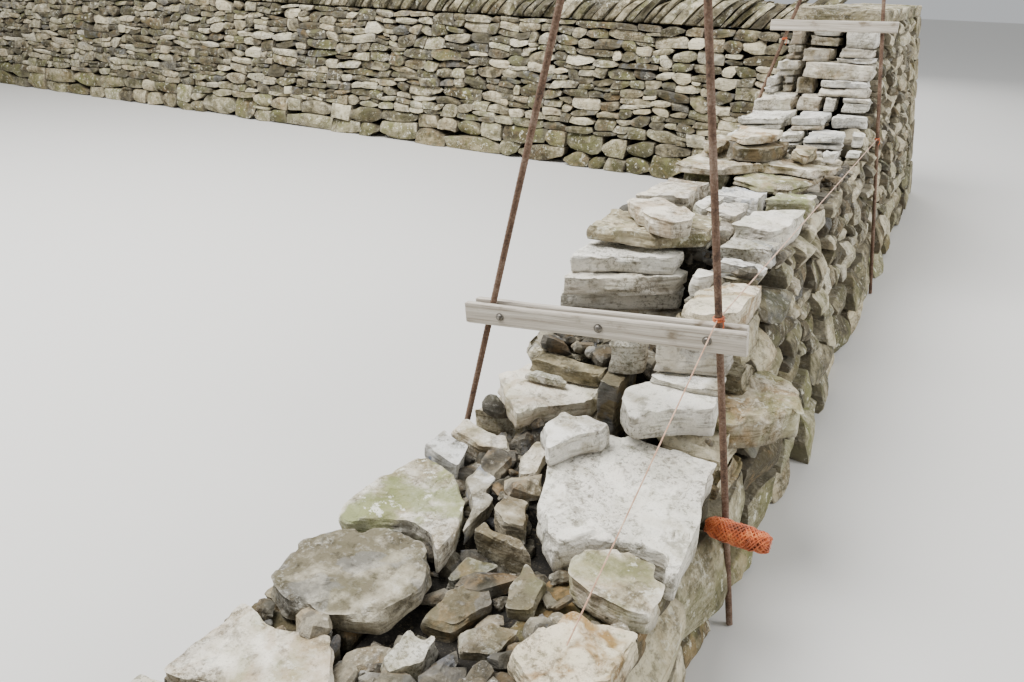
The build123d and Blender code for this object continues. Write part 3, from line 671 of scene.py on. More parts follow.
def middle_of(outline):
    """The place that sees all sides of an outline best: of a grid of places, the one furthest inside its
    nearest side."""
    low, high = outline.min(0), outline.max(0)
    ways = [np.linspace(a, b, 33)[1:-1] for a, b in zip(low, high)]
    places = np.stack(np.meshgrid(*ways), -1).reshape(-1, 1, 2)
    run = np.roll(outline, -1, 0) - outline
    run = run / np.linalg.norm(run, axis=1, keepdims=True)
    away = places - outline[None]
    how_far_in = run[None, :, 0] * away[..., 1] - run[None, :, 1] * away[..., 0]
    return places[np.argmax(how_far_in.min(1)), 0]


def breaks(rng, at, height, pieces, rows):
    """Flat breaks round a stone, from 0 to 1: random values at uneven places round it and at a few heights,
    with straight lines between them. at runs from 0 to 1 round the stone and height from 0 to 1 up it."""
    stations = np.sort((np.arange(pieces) + rng.uniform(-0.4, 0.4, pieces)) / pieces % 1)
    levels = np.concatenate(([0], np.sort(rng.uniform(0.15, 0.85, rows - 2)), [1]))
    values = np.stack([np.interp(at, stations, rng.random(pieces), period=1.0) for _ in range(rows)])
    below = np.clip(np.searchsorted(levels, height, side="right") - 1, 0, rows - 2)
    share = ((height - levels[below]) / (levels[below + 1] - levels[below]))[:, None]
    return values[below] * (1 - share) + values[below + 1] * share


def closed_rows(rows, around):
    """Corner numbers and sizes of the faces that join rows of points. Triangles close the first row to one
    more point and the last row to another."""
    grid = np.arange(rows * around).reshape(rows, around)
    ahead = np.roll(grid, -1, 1)
    quads = np.stack([grid[:-1], ahead[:-1], ahead[1:], grid[1:]], -1).reshape(-1, 4)
    first = np.stack([np.full(around, rows * around), ahead[0], grid[0]], -1)
    last = np.stack([np.full(around, rows * around + 1), grid[-1], ahead[-1]], -1)
    corners = np.concatenate([quads.ravel(), first.ravel(), last.ravel()])
    return corners, np.concatenate([np.full(len(quads), 4), np.full(2 * around, 3)])


def slab(heap, rng, outline, low, high, looks, step=0.009, crag=0.012, relief=0.004, ledge=0.006, chip=0.012,
         carry=None):
    """A split slab, in faces about one step long. u goes round its outline and v from the middle of the bed,
    out under it, up the broken edge and in over the top. The edge is pushed in along flat breaks and thin
    beds, its rim is chipped, and the top is lowered by broken noise and by ledges where a bed has split off.
    carry takes the points from where they are worked out to their place on the wall."""
    ring = np.concatenate([outline, outline[:1]])
    lengths = np.linalg.norm(np.diff(ring, axis=0), axis=1)
    girth = lengths.sum()
    around, tall = max(16, round(girth / step)), high - low
    at = np.linspace(0, 1, around, endpoint=False)
    along = np.concatenate(([0], np.cumsum(lengths))) / girth
    rim = np.stack([np.interp(at, along, ring[:, i]) for i in range(2)], 1)
    rim = (np.roll(rim, 1, 0) + 2 * rim + np.roll(rim, -1, 0)) / 4
    middle = middle_of(outline)
    reach = np.linalg.norm(rim - middle, axis=1)
    # rho is how far out a row lies, and eta how far up the edge
    side, over = max(3, round(tall / step)), max(4, round(reach.mean() / step / 1.4))
    bed, top = np.array([0.4, 0.8]), np.linspace(1, 0, over + 1)[1:-1] ** 0.85
    rho = np.concatenate([bed, np.ones(side + 1), top])
    eta = np.concatenate([bed * 0, np.linspace(0, 1, side + 1), top * 0 + 1])
    flat = middle + (rim[None] - middle) * rho[:, None, None]
    heights = np.broadcast_to((low + tall * eta)[:, None, None], flat.shape[:2] + (1,))
    points = np.concatenate([flat, heights], 2)
    # The edge
    seed = int(rng.integers(1, 9999))
    inward = np.append((middle - rim) / reach[:, None], np.zeros((around, 1)), axis=1)
    push = crag * breaks(rng, at, eta, max(6, round(girth / 0.055)), 4) ** 1.4
    push = push + 0.35 * crag * breaks(rng, at, eta, max(8, round(girth / 0.03)), max(4, side // 2 + 2))
    push = push + 0.004 * broken(points, 0.022, seed, 2)
    chips = chip * np.clip(breaks(rng, at, eta, max(8, round(girth / 0.04)), 2) - 0.6, 0, 1) / 0.4
    push = push + chips * np.clip((eta - 0.55) / 0.45, 0, 1)[:, None]
    push = np.minimum(push, 0.35 * reach[None]) * (rho ** 6)[:, None]
    points = points + inward[None] * push[..., None]
    # The top, with a point at the middle of the bed and one at the middle of the top
    every = np.concatenate([points.reshape(-1, 3), [[*middle, low], [*middle, high]]])
    rise = np.concatenate([np.repeat(eta, around), [0, 1]])
    from_rim = np.concatenate([((1 - rho)[:, None] * reach[None]).ravel(), [reach.min()] * 2])
    beds = broken(every * (1, 1, 0), 0.15, seed + 11, 4)
    steps = sum(np.clip((beds - split) / 0.015, 0, 1) for split in rng.uniform((0.36, 0.52), (0.52, 0.70)))
    drop = relief * (beds + 0.6 * broken(every, 0.02, seed + 13, 2)) + ledge * rng.uniform(0.4, 1.0) * steps
    nick = np.concatenate([np.broadcast_to(chips, points.shape[:2]).ravel(), [0, 0]])
    drop = drop + 0.8 * nick * np.clip(1 - from_rim / 0.02, 0, 1)
    every[:, 2] -= np.minimum(drop, 0.5 * tall) * rise ** 3
    # The lower part of the edge is darkened by dirt and by painted shade under the slab
    dirt_and_painted_shade = np.clip(1 - rise * 2.2, 0, 1) * 0.8
    every = carry(every) if carry else every
    heap.put(every[None], *closed_rows(len(rho), around), dirt_and_painted_shade, looks)


cope_slope = math.tan(math.radians(43.0))


def leaning(p):
    """From across, rise and thickness of a stone on edge to its place on the wall top."""
    return np.stack([p[:, 2] + p[:, 1] * cope_slope, p[:, 0], wall_top + p[:, 1]], 1)


rng = np.random.default_rng(27)
heap = Heap()
cope_nodes = [f"cope_bay_{i}" for i in range(1, 7)]
for points, triangles in (solid for node in cope_nodes for solid in solids(node)):
    rise = points[:, 2] - wall_top
    upright = np.stack([points[:, 1], rise, points[:, 0] - rise * cope_slope], 1)
    outline, low, high = outline_of(upright, triangles)
    slab(heap, rng, outline, low, high, looks_of(rng, 1, (0.40, 0.24), 0.25, 0.8), step=0.034, crag=0.022,
         relief=0.010, ledge=0.008, chip=0.02, carry=leaning)
heap.piece("cope_stones", cope_nodes, material=cope_stone)

# Springer: six bedded stones in three layers, behind the last leaning cope stone and against the corner.
# Laid dry, they take the thrust of the cope.
rng = np.random.default_rng(28)
heap = Heap()
corners = eight_corners(*solids("cope_springer")[0])
joint_share = 0.02
for low, high in ((0.0, 0.36), (0.36, 0.62), (0.62, 1.0)):
    layer = corners.copy()
    for i, share in enumerate((low, high)):
        layer[:, :, i] = corners[:, :, 0] + (corners[:, :, 1] - corners[:, :, 0]) * share
    for start, end in ((0.0, 0.5 - joint_share / 2), (0.5 + joint_share / 2, 1.0)):
        part = layer.copy()
        part[:, 0] = layer[:, 0] + (layer[:, 1] - layer[:, 0]) * start
        part[:, 1] = layer[:, 0] + (layer[:, 1] - layer[:, 0]) * end
        block(heap, rng, part, ((0.5, 0.15), 0.4, 0.8), parts=(8, 8, 5))
heap.piece("cope_springer_stones", ["cope_springer"], material=cope_stone)

# Outer corner: long quoins laid along each wall in turn, so that each ties in the one below it.
# The stones of both faces run up to them, and one large block of the footing stands under them.
blocks_piece("corner_quoins", ["corner_quoins_along_leg", "corner_quoins_along_wall"], 29,
             ((0.5, 0.12), 0.5, 0.7), (12, 12, 8))

quoin_courses, quoin_long, quoin_short = 7, 0.33, 0.19
quoin_rise = (leg_top - footing_top) / quoin_courses
corner_block, block_ledge, block_joint = 0.26, 0.004, 0.003
heap = Heap()
for along, seed in (("wall", 31), ("leg", 32)):
    rng = np.random.default_rng(seed)
    long_end = half(leg_top) - quoin_long
    tops = np.full(cells_of(long_end + half(footing_top)), leg_top)
    cells = lay(rng, -half(footing_top), tops, footing_top, thin_lengths, thin_heights)
    # Beside every short quoin one stone fills up to it
    for course in range(quoin_courses):
        low = footing_top + course * quoin_rise
        quoin = quoin_short if (course % 2 == 0) == (along == "wall") else quoin_long
        cells = np.vstack([cells, [long_end, half(low + quoin_rise) - quoin, low, low + quoin_rise]])
    cells = cells[cells[:, 1] - cells[:, 0] > 0.02]
    masonry(heap, rng, along, 1, cells, ((0.5, 0.17), 0.4, 0.7), seed=seed)
    tops = np.full(cells_of(2 * half(0) - corner_block), footing_top)
    cells = lay(rng, -half(0), tops, 0.0, (0.2, 0.3, 0.42), (0.10, 0.15, 0.24))
    masonry(heap, rng, along, 1, cells, ((0.42, 0.15), 0.4, 0.9), out=foot_ledge,
            depth=0.05, proud=0.0, seed=seed + 5)
corners = np.zeros((2, 2, 2, 3))
for i, j, k in np.ndindex(2, 2, 2):
    z = (0.0, footing_top - block_joint)[k]
    inner_outer = half(0) - corner_block + block_ledge, half(z) + block_ledge
    corners[i, j, k] = (inner_outer[i], inner_outer[j], z)
block(heap, rng, corners, ((0.5, 0.1), 0.4, 0.9), parts=(14, 14, 12), chip=0.02)
heap.piece("corner_stones", ["corner_footing", "corner_core"])

# Leg: the same battered section, the lower courses large and older. Its faces stop course by course at the
# working end and at the scar, where it is full height. Each rack gives a course's top and the y of its end.
right_rack = [(0.315, -4.415), (0.40, -4.415), (0.492, -4.23), (0.585, -4.20), (0.64, -4.00)]
left_rack = [(0.345, -4.455), (0.445, -4.235), (0.545, -3.895), (0.64, -3.895)]
hearting_rack = [(0.262, -5.59), (0.31, -4.70), (0.445, -4.235), (0.62, -3.89)]
scar_courses = [(0.70, -2.32), (0.754, -2.22), (0.808, -2.10), (0.866, -1.98), (0.935, -1.92), (1.00, -1.87),
                (1.06, -1.82), (1.15, -1.76)]
end_bed, end_gap = 0.002, 0.005


def core(z):
    """Half the width of the hearting at height z."""
    return 0.13 - 0.09 * z


def end_blocks(heap, rng, side, ends, looks):
    """The stones that show their ends where the courses stop: each from the face in to the hearting."""
    for low, high, near, far in ends:
        corners = np.zeros((2, 2, 2, 3))
        for i, j, k in np.ndindex(2, 2, 2):
            z = (low + end_bed, high - end_bed)[k]
            outer = (i == 1) == (side > 0)
            corners[i, j, k] = (side * (half(z) if outer else core(z)), (near, far - end_gap)[j], z)
        block(heap, rng, corners, looks, (14, 12, 8), chips=20, chip=0.03, crag=0.022,
              grain=0.07)


leg_looks = ((0.46, 0.32), 0.4, 0.7, 0.3)
for face, side, seed, rack, far in (
        ("right", 1, 41, right_rack, -half(footing_top)),
        ("left", -1, 42, left_rack, -0.275)):
    rng = np.random.default_rng(seed)
    heap = Heap()
    ends, bed = [], footing_top
    for top, near in rack:
        ends.append((bed, top, near, near + rng.uniform(0.13, 0.24)))
        bed = top
    begin = max(stone[3] for stone in ends)
    tops = np.full(cells_of(far - begin), line_level)
    cells = lay(rng, begin, tops, footing_top, (0.06, 0.14, 0.32), (0.028, 0.05, 0.11))
    # From each end stone to where the plain face begins, stones about 190 mm long
    for low, high, _, near in ends:
        joints = np.linspace(near, begin, max(2, round((begin - near) / 0.19) + 1))
        row = [[a, b, low, high] for a, b in zip(joints[:-1], joints[1:]) if b - a > 0.03]
        cells = np.vstack([cells] + row)
    masonry(heap, rng, "leg", side, cells, leg_looks, across=8, up=7, gap=0.006,
            depth=0.17, proud=0.022, slope=0.5, seed=seed)
    end_blocks(heap, rng, side, ends, ((0.62, 0.15), 0.5, 0.35, 0.5))
    heap.piece(f"leg_{face}_stones_lower", [f"leg_{face}_face_lower"], crisp=20)

# Leg above the line: only the part beyond the scar stands to its full height so far.
# Its stones are thinner than those below, laid dry in the same way, and start course by course at the scar.
for face, side, seed, far in (("right", 1, 43, -half(footing_top)), ("left", -1, 44, -0.20)):
    rng = np.random.default_rng(seed)
    heap = Heap()
    begin = scar_courses[0][1]
    tops = np.full(cells_of(far - begin), leg_top)
    for (top, _), (_, stop) in zip(scar_courses[:-1][::-1], scar_courses[1:][::-1]):
        tops[:cells_of(stop - begin)] = top
    cells = lay(rng, begin, tops, line_level, (0.06, 0.14, 0.34), (0.026, 0.048, 0.11))
    masonry(heap, rng, "leg", side, cells, leg_looks, across=8, up=7, gap=0.005,
            depth=0.15, proud=0.018, slope=0.5, seed=seed)
    heap.piece(f"leg_{face}_stones_upper", [f"leg_{face}_face_upper"], crisp=20)

# Footing of the leg: a row of large stones on each side, straight on the ground, some standing proud of the
# face. Each row begins with one end stone.
heap = Heap()
end_stone, end_joint = 0.30, 0.004
foot_looks = ((0.45, 0.15), 0.5, 0.8)
for seed, side in ((45, 1), (46, -1)):
    rng = np.random.default_rng(seed)
    row = [eight_corners(*solid) for solid in solids("leg_footing_stones")
           if side * box_of(*solid)[2][:, 0].mean() > 0]
    for corners in sorted(row, key=lambda c: c[..., 1].min()):
        near, stop = corners[..., 1].min(), corners[..., 1].max()
        ledge = np.abs(corners[:, :, 1, 0]).max() - half(footing_top)
        if near < leg_end + 0.01:
            first = corners.copy()
            first[:, 1, :, 1] = near + end_stone
            block(heap, rng, first, foot_looks, parts=(14, 14, 12), chip=0.022)
            near += end_stone + end_joint
        tops = np.full(max(1, cells_of(stop - near)), footing_top)
        cells = lay(rng, near, tops, 0.0, (0.14, 0.30, 0.52), (0.06, 0.10, 0.17))
        masonry(heap, rng, "leg", side, cells, foot_looks, out=ledge,
                across=12, up=8, depth=0.18, proud=0.006, seed=seed)
heap.piece("leg_footing", ["leg_footing_stones"])


def inside(places, outline):
    """Which places lie inside an outline: a line from them towards +X crosses an odd number of its sides."""
    a, b = outline[None], np.roll(outline, -1, 0)[None]
    x, y = places[:, :1], places[:, 1:2]
    rising = (a[..., 1] > y) != (b[..., 1] > y)
    run = np.where(b[..., 1] == a[..., 1], 1.0, b[..., 1] - a[..., 1])
    crossing = a[..., 0] + (y - a[..., 1]) / run * (b[..., 0] - a[..., 0])
    return ((rising & (crossing > x)).sum(1) % 2) == 1


# Stones that show plainly: x, y and z of a place inside each, then tone, warmth, lichen and freshness
seen = np.array([
    (-0.18, -5.03, 0.31, 0.30, 0.0, 0.05, 0.2),
    (-0.20, -4.85, 0.31, 0.60, 0.25, 0.85, 0.1),
    (-0.26, -4.64, 0.31, 0.75, 0.0, 0.1, 1.0),
    (-0.12, -4.72, 0.31, 0.50, 0.0, 0.1, 0.7),
    (0.25, -4.86, 0.34, 0.56, 0.4, 0.5, 0.0),
    (0.25, -5.02, 0.34, 0.95, 1.0, 0.2, 0.0),
    (-0.16, -4.37, 0.37, 0.95, 0.45, 0.3, 0.0),
    (0.20, -4.16, 0.61, 1.00, 0.8, 0.2, 0.0),
    (0.11, -4.05, 0.62, 0.75, 0.2, 0.3, 0.2),
    (0.19, -3.96, 0.65, 1.00, 0.0, 0.1, 0.55),
    (0.17, -3.86, 0.66, 0.65, 0.1, 0.2, 0.5),
    (0.18, -3.67, 0.68, 0.90, 0.2, 0.3, 0.1),
    (0.01, -3.36, 0.67, 1.05, 0.0, 0.1, 0.55),
    (0.18, -3.38, 0.68, 0.75, 0.3, 1.0, 0.0),
    (-0.15, -3.05, 0.67, 0.25, 0.2, 0.4, 0.2),
    (0.07, -3.13, 0.69, 0.50, 0.4, 0.6, 0.0),
    (0.01, -3.06, 0.73, 0.58, 0.5, 0.2, 0.0),
    (-0.03, -2.99, 0.77, 0.12, 0.3, 0.2, 0.2),
    (-0.05, -2.97, 0.81, 0.80, 0.8, 0.2, 0.0),
    (-0.19, -2.96, 0.76, 0.55, 0.5, 0.2, 0.0),
    (0.12, -2.94, 0.76, 0.50, 0.4, 0.1, 0.0),
    (0.20, -2.89, 0.76, 0.90, 0.1, 0.0, 0.2)])

# Each piece: its CAD nodes, seed, step, crag and, for its other stones, tone with its spread, warmth, lichen
# and freshness
stacked = ["stacked_slab_base", "stacked_slab_low", "stacked_slab_middle", "stacked_slab_top"]
for name, nodes, seed, step, crag, looks in (
        ("cover_slabs", ["cover_stones"], 51, 0.02, 0.014, ((0.5, 0.12), 0.5, 0.9, 0.1)),
        ("white_slab_split", ["white_slab"], 52, 0.007, 0.012, ((0.95, 0.02), 0.3, 0.25, 0.5)),
        ("near_bed", ["near_bed_stones"], 65, 0.012, 0.012, ((0.12, 0.10), 0.7, 0.3, 0.0)),
        ("near_left_laid", ["near_left_slabs"], 53, 0.008, 0.012, ((0.6, 0.14), 0.5, 0.6, 0.3)),
        ("near_right_laid", ["near_right_stones"], 54, 0.008, 0.014, ((0.65, 0.12), 0.6, 0.6, 0.3)),
        ("near_hearting_laid", ["near_hearting"], 55, 0.008, 0.014, ((0.30, 0.16), 0.5, 0.2, 0.4)),
        ("ochre_slab_split", ["ochre_slab"], 56, 0.008, 0.012, ((0.75, 0.02), 1.0, 0.1, 0.0)),
        ("mossy_slab_split", ["mossy_slab"], 66, 0.008, 0.012, ((0.32, 0.02), 0.2, 1.0, 0.0)),
        ("thin_slabs_split", ["thin_white_slab", "thin_green_slab"], 67, 0.008, 0.01,
         ((0.8, 0.05), 0.2, 0.6, 0.3)),
        ("pale_slab_split", ["pale_slab"], 57, 0.007, 0.014, ((1.0, 0.02), 0.3, 0.15, 0.2)),
        ("loose_grey_block_split", ["loose_grey_block"], 58, 0.007, 0.014, ((0.85, 0.02), 0.0, 0.1, 0.9)),
        ("rack_blocks_laid", ["rack_blocks"], 68, 0.009, 0.014, ((0.75, 0.1), 0.4, 0.3, 0.4)),
        ("stacked_slabs", stacked, 59, 0.008, 0.014, ((0.86, 0.08), 0.45, 0.2, 0.2)),
        ("cream_corner_split", ["cream_corner_stone"], 62, 0.009, 0.014, ((1.1, 0.03), 0.8, 0.2, 0.0)),
        ("working_top_laid", ["working_top_stones"], 63, 0.011, 0.018, ((0.62, 0.2), 0.6, 0.5, 0.5)),
        ("working_top_slab_split", ["working_top_slab"], 69, 0.010, 0.014, ((0.5, 0.02), 0.8, 0.9, 0.1)),
        ("loose_top_stone_split", ["loose_top_stone"], 76, 0.010, 0.016, ((0.85, 0.02), 0.6, 0.1, 0.1)),
        ("through_stone_laid", ["through_stone"], 64, 0.011, 0.02, ((0.55, 0.05), 0.6, 0.3, 0.3)),
        ("scar_laid", ["scar_stones"], 70, 0.014, 0.018, ((0.92, 0.18), 0.5, 0.3, 0.4))):
    rng = np.random.default_rng(seed)
    heap = Heap()
    for points, triangles in (solid for node in nodes for solid in solids(node)):
        outline, low, high = outline_of(points, triangles)
        middle = middle_of(outline)
        known = inside(seen[:, :2], outline) & (seen[:, 2] > low) & (seen[:, 2] < high)
        # About half of the stones of the scar are two thin ones, each a little smaller to one side
        split = name == "scar_laid" and rng.random() < 0.5
        beds = (low, low + (high - low) * rng.uniform(0.35, 0.65), high) if split else (low, high)
        for bed, top in zip(beds[:-1], beds[1:]):
            shape = middle + (outline - middle) * (rng.uniform(0.84, 1, 2) if split else 1)
            own = seen[known, 3:][:1] if known.any() else looks_of(rng, 1, *looks)
            slab(heap, rng, shape, bed, top, own, step, crag)
    old = name in ("cover_slabs", "near_bed", "mossy_slab_split", "working_top_slab_split")
    heap.piece(name, nodes, 24, old_limestone if old else split_limestone)

# One large stone of the leg's right side, which stands 100 mm out of the face below the near crossbar: split
# limestone, tailed into the wall. The CAD's face is flat here, so this stone is only in the visual model.
rng = np.random.default_rng(77)
heap = Heap()
jutting_outline = np.array([(0.17, -4.33), (0.29, -4.345), (0.35, -4.30), (0.425, -4.20), (0.405, -4.09),
                            (0.31, -4.03), (0.17, -4.06)])
jutting_bed, jutting_top = 0.355, 0.45
jutting_looks = np.array([(0.55, 0.6, 0.5, 0.0)])
slab(heap, rng, jutting_outline, jutting_bed, jutting_top, jutting_looks, crag=0.022, relief=0.010,
     ledge=0.014)
heap.piece("jutting_face_stone", [], 24, split_limestone)

# Hearting of the working end: broken rubble of 20 to 110 mm, packed by hand between the slabs and level with
# the beds. Nothing binds it: each stone is wedged by the next.


def rubble(heap, rng, places, sizes, looks, parts=3, sides=9):
    """Small angular stones. Each is what a number of random planes leave: from its middle, a point goes out
    as far as the nearest plane lets it, the least of height / (direction . normal). It is then stretched,
    flattened and turned."""
    cube, faces = box_skin((parts,) * 3)
    way = cube / np.linalg.norm(cube, axis=1, keepdims=True)
    count = len(places)
    normals = rng.normal(0, 1, (count, sides, 3))
    normals /= np.linalg.norm(normals, axis=2, keepdims=True)
    heights = rng.uniform(0.55, 0.95, (count, sides, 1))
    facing = normals @ way.T
    reach = np.where(facing > 0.15, heights / np.maximum(facing, 0.15), 9.0).min(1)
    shape = way[None] * np.minimum(reach, 1.15)[..., None]
    stretch = [rng.uniform(0.8, 1.3, count), rng.uniform(0.6, 1.0, count), rng.uniform(0.4, 0.8, count)]
    shape = shape * np.stack(stretch, 1)[:, None]
    for first, second, most in ((1, 2, 0.5), (0, 2, 0.5), (0, 1, math.pi)):
        angle = rng.uniform(-most, most, (count, 1))
        a, b = shape[..., first].copy(), shape[..., second].copy()
        shape[..., first] = a * np.cos(angle) - b * np.sin(angle)
        shape[..., second] = a * np.sin(angle) + b * np.cos(angle)
    points = places[:, None] + shape * sizes[:, None, None] / 2
    # Each stone is darker towards its bottom, by dirt and by painted shade beneath it
    dirt_and_painted_shade = np.clip(0.5 - (points[..., 2] - places[:, None, 2]) / sizes[:, None], 0, 1)
    heap.put(points, faces.ravel(), np.full(len(faces), 4), dirt_and_painted_shade, looks)


right_bed_top, left_bed_top = 0.31, 0.285


def bed_under(x, y):
    """Height of what has been laid at a place of the working end: footing, bed stones, face or hearting."""
    in_core = np.abs(x) < core(footing_top)
    level = np.where(in_core, footing_top, np.where(x > 0, right_bed_top, left_bed_top))
    beyond = core(footing_top)
    for here, rack in ((x > beyond, right_rack), (-x > beyond, left_rack), (in_core, hearting_rack)):
        for top, near in rack:
            level = np.where(here & (y > near), np.maximum(level, top), level)
    return level


rng = np.random.default_rng(71)
heap = Heap()
laid = ["white_slab", "near_left_slabs", "near_right_stones", "near_hearting", "ochre_slab", "pale_slab",
        "rack_blocks", "stacked_slab_base", "cream_corner_stone", "working_top_stones", "scar_stones"]
outlines = [outline_of(*solid) for node in laid for solid in solids(node)]
packed_half, packed_near, packed_far = 0.30, leg_end + 0.10, -2.5
for pitch, small, large in ((0.056, 0.05, 0.11), (0.030, 0.022, 0.05)):
    ways = np.arange(-packed_half, packed_half + 0.001, pitch), np.arange(packed_near, packed_far, pitch)
    x, y = (a.ravel() for a in np.meshgrid(*ways))
    x, y = x + rng.uniform(-0.4, 0.4, len(x)) * pitch, y + rng.uniform(-0.4, 0.4, len(y)) * pitch
    level = bed_under(x, y)
    free = np.abs(x) < half(level) - 0.03
    for outline, low, high in outlines:
        around = outline + (outline - outline.mean(0)) * 0.02
        free &= ~(inside(np.stack([x, y], 1), around) & (high > level + 0.004))
    x, y, level = x[free], y[free], level[free]
    sizes = rng.uniform(small, large, len(x))
    places = np.stack([x, y, level + sizes * rng.uniform(0.0, 0.25, len(x))], 1)
    rubble(heap, rng, places, sizes, looks_of(rng, len(x), (0.42, 0.28), 0.6, 0.3, 0.4))
heap.piece("hearting_rubble", [], 12, rubble_stone_with_gap_shade)

# Batter frames. Each pin is a ribbed reinforcing bar of 16 mm, driven in beside the wall and left out to
# rust. Rolled bar gives two ribs along it and slanting ones across, with a dull brown rust, worn grey.
rust, tree, shader = new_material("rusted_ribbed_bar", Roughness=0.85, Metallic=0.1)
place = add(tree, "TexCoord").outputs["Object"]
blotches = {"Vector": place, "Scale": 1 / 0.05, "Detail": 6.0, "Roughness": 0.7}
blotch = add(tree, "TexNoise", blotches).outputs[0]
speck = add(tree, "TexNoise", {"Vector": place, "Scale": 1 / 0.004, "Detail": 3.0}).outputs[0]
level = weighed_sum(tree, 0.0, (blotch, 0.65), (speck, 0.35))
colour = add(tree, "ValToRGB", {"Fac": level},
             stops=((0.36, "3a2a22"), (0.50, "69503f"), (0.66, "8d7a6a")))
tree.links.new(colour.outputs[0], shader.inputs["Base Color"])
bump = add(tree, "Bump", {"Height": speck, "Strength": 0.5, "Distance": 0.0008})
tree.links.new(bump.outputs[0], shader.inputs["Normal"])


def tube_piece(name, tubes, material, nodes):
    """Closed tubes as one piece. Each is rings of points, with a point in the middle of each end."""
    points, corners, sizes, base = [], [], [], 0
    for rings in tubes:
        faces, face_sizes = closed_rows(*rings.shape[:2])
        points += [rings.reshape(-1, 3), rings[0].mean(0)[None], rings[-1].mean(0)[None]]
        corners.append(faces + base)
        sizes.append(face_sizes)
        base += rings.shape[0] * rings.shape[1] + 2
    points, corners, sizes = (np.concatenate(a) for a in (points, corners, sizes))
    mesh_piece(name, points, corners, sizes, {}, material, nodes, crisp=40)


def rings_along(path, radius, sides=12):
    """Rings of points round a path. radius is a number, one for each place, or a function of the length run
    so far and of the angle round it."""
    step = np.gradient(path, axis=0)
    along = step / np.linalg.norm(step, axis=1, keepdims=True)
    helper = np.array((0.0, 0.0, 1.0)) if np.abs(along[:, 2]).mean() < 0.7 else np.array((0.0, 1.0, 0.0))
    across = np.cross(along, helper)
    across = across / np.linalg.norm(across, axis=1, keepdims=True)
    over = np.cross(across, along)
    run = np.concatenate(([0], np.cumsum(np.linalg.norm(np.diff(path, axis=0), axis=1))))
    angle = np.linspace(0, 2 * math.pi, sides, endpoint=False)
    out = across[:, None] * np.cos(angle)[None, :, None] - over[:, None] * np.sin(angle)[None, :, None]
    wide = radius(run[:, None], angle[None]) if callable(radius) else np.reshape(radius, (-1, 1))
    return path[:, None] + out * wide[..., None]


def ends_of(points, triangles, axis):
    """The middles of the two ends of a long solid that lies along an axis."""
    low, high, used = box_of(points, triangles)
    slack = 0.02 * (high[axis] - low[axis])
    return used[used[:, axis] < low[axis] + slack].mean(0), used[used[:, axis] > high[axis] - slack].mean(0)


bar_radius, rib_pitch, rib_high, side_rib_high = 0.0070, 0.010, 0.0009, 0.0006
bar_step = 0.0025


def ribbed(run, angle):
    """Radius of the bar: slanting ribs, one way on each half of it, and a low rib down each side."""
    wave = np.cos(2 * math.pi * (run / rib_pitch + 0.32 * np.sin(angle)))
    slanting = rib_high * np.clip(wave, 0, 1) ** 3 * np.abs(np.sin(angle)) ** 0.5
    return bar_radius + slanting + side_rib_high * np.abs(np.cos(angle)) ** 12


bars = []
for solid in solids("batter_pins"):
    foot, head = ends_of(*solid, 2)
    count = round(np.linalg.norm(head - foot) / bar_step)
    bars.append(rings_along(foot + (head - foot) * np.linspace(0.0018, 0.9982, count)[:, None], ribbed))
tube_piece("batter_bars", bars, rust, ["batter_pins"])

# Crossbars: sawn softwood, 45 by 18 mm, gone grey outdoors. The saw gives square arrises, the weather rounds
# and frays them, raises the grain along the board and stains it round the nails and bolts.
timber, tree, shader = new_material("weathered_softwood", Roughness=0.82)
grain_ways = ("along", "across", "through")
ways = {n: add(tree, "Attribute", attribute_name=n).outputs["Fac"] for n in grain_ways}
marks = []
# Grain, streaks and patches, by their length along the grain and their width across it
for long, wide in ((0.12, 0.0022), (0.5, 0.012), (0.09, 0.05)):
    scaled = [add(tree, "Math", {0: ways[n], 1: 1 / size}, operation="MULTIPLY").outputs[0]
              for n, size in zip(grain_ways, (long, wide, wide))]
    place = add(tree, "CombineXYZ", dict(enumerate(scaled))).outputs[0]
    noise = add(tree, "TexNoise", {"Vector": place, "Scale": 1.0, "Detail": 4.0, "Roughness": 0.6})
    marks.append(noise.outputs[0])
grain, streak, patch = marks
level = weighed_sum(tree, 0.0, (grain, 0.5), (streak, 0.5))
colour = add(tree, "ValToRGB", {"Fac": level},
             stops=((0.34, "857a6a"), (0.48, "b9b0a2"), (0.64, "d6cfc2")))
spots = add(tree, "MapRange", {"Value": patch, "From Min": 0.56, "From Max": 0.72},
            interpolation_type="SMOOTHSTEP")
layers = {0: spots.outputs[0], 6: colour.outputs[0], 7: linear("7d705c")}
soiled = add(tree, "Mix", layers, data_type="RGBA")
tree.links.new(soiled.outputs[2], shader.inputs["Base Color"])
bump = add(tree, "Bump", {"Height": grain, "Strength": 0.7, "Distance": 0.0015})
tree.links.new(bump.outputs[0], shader.inputs["Normal"])

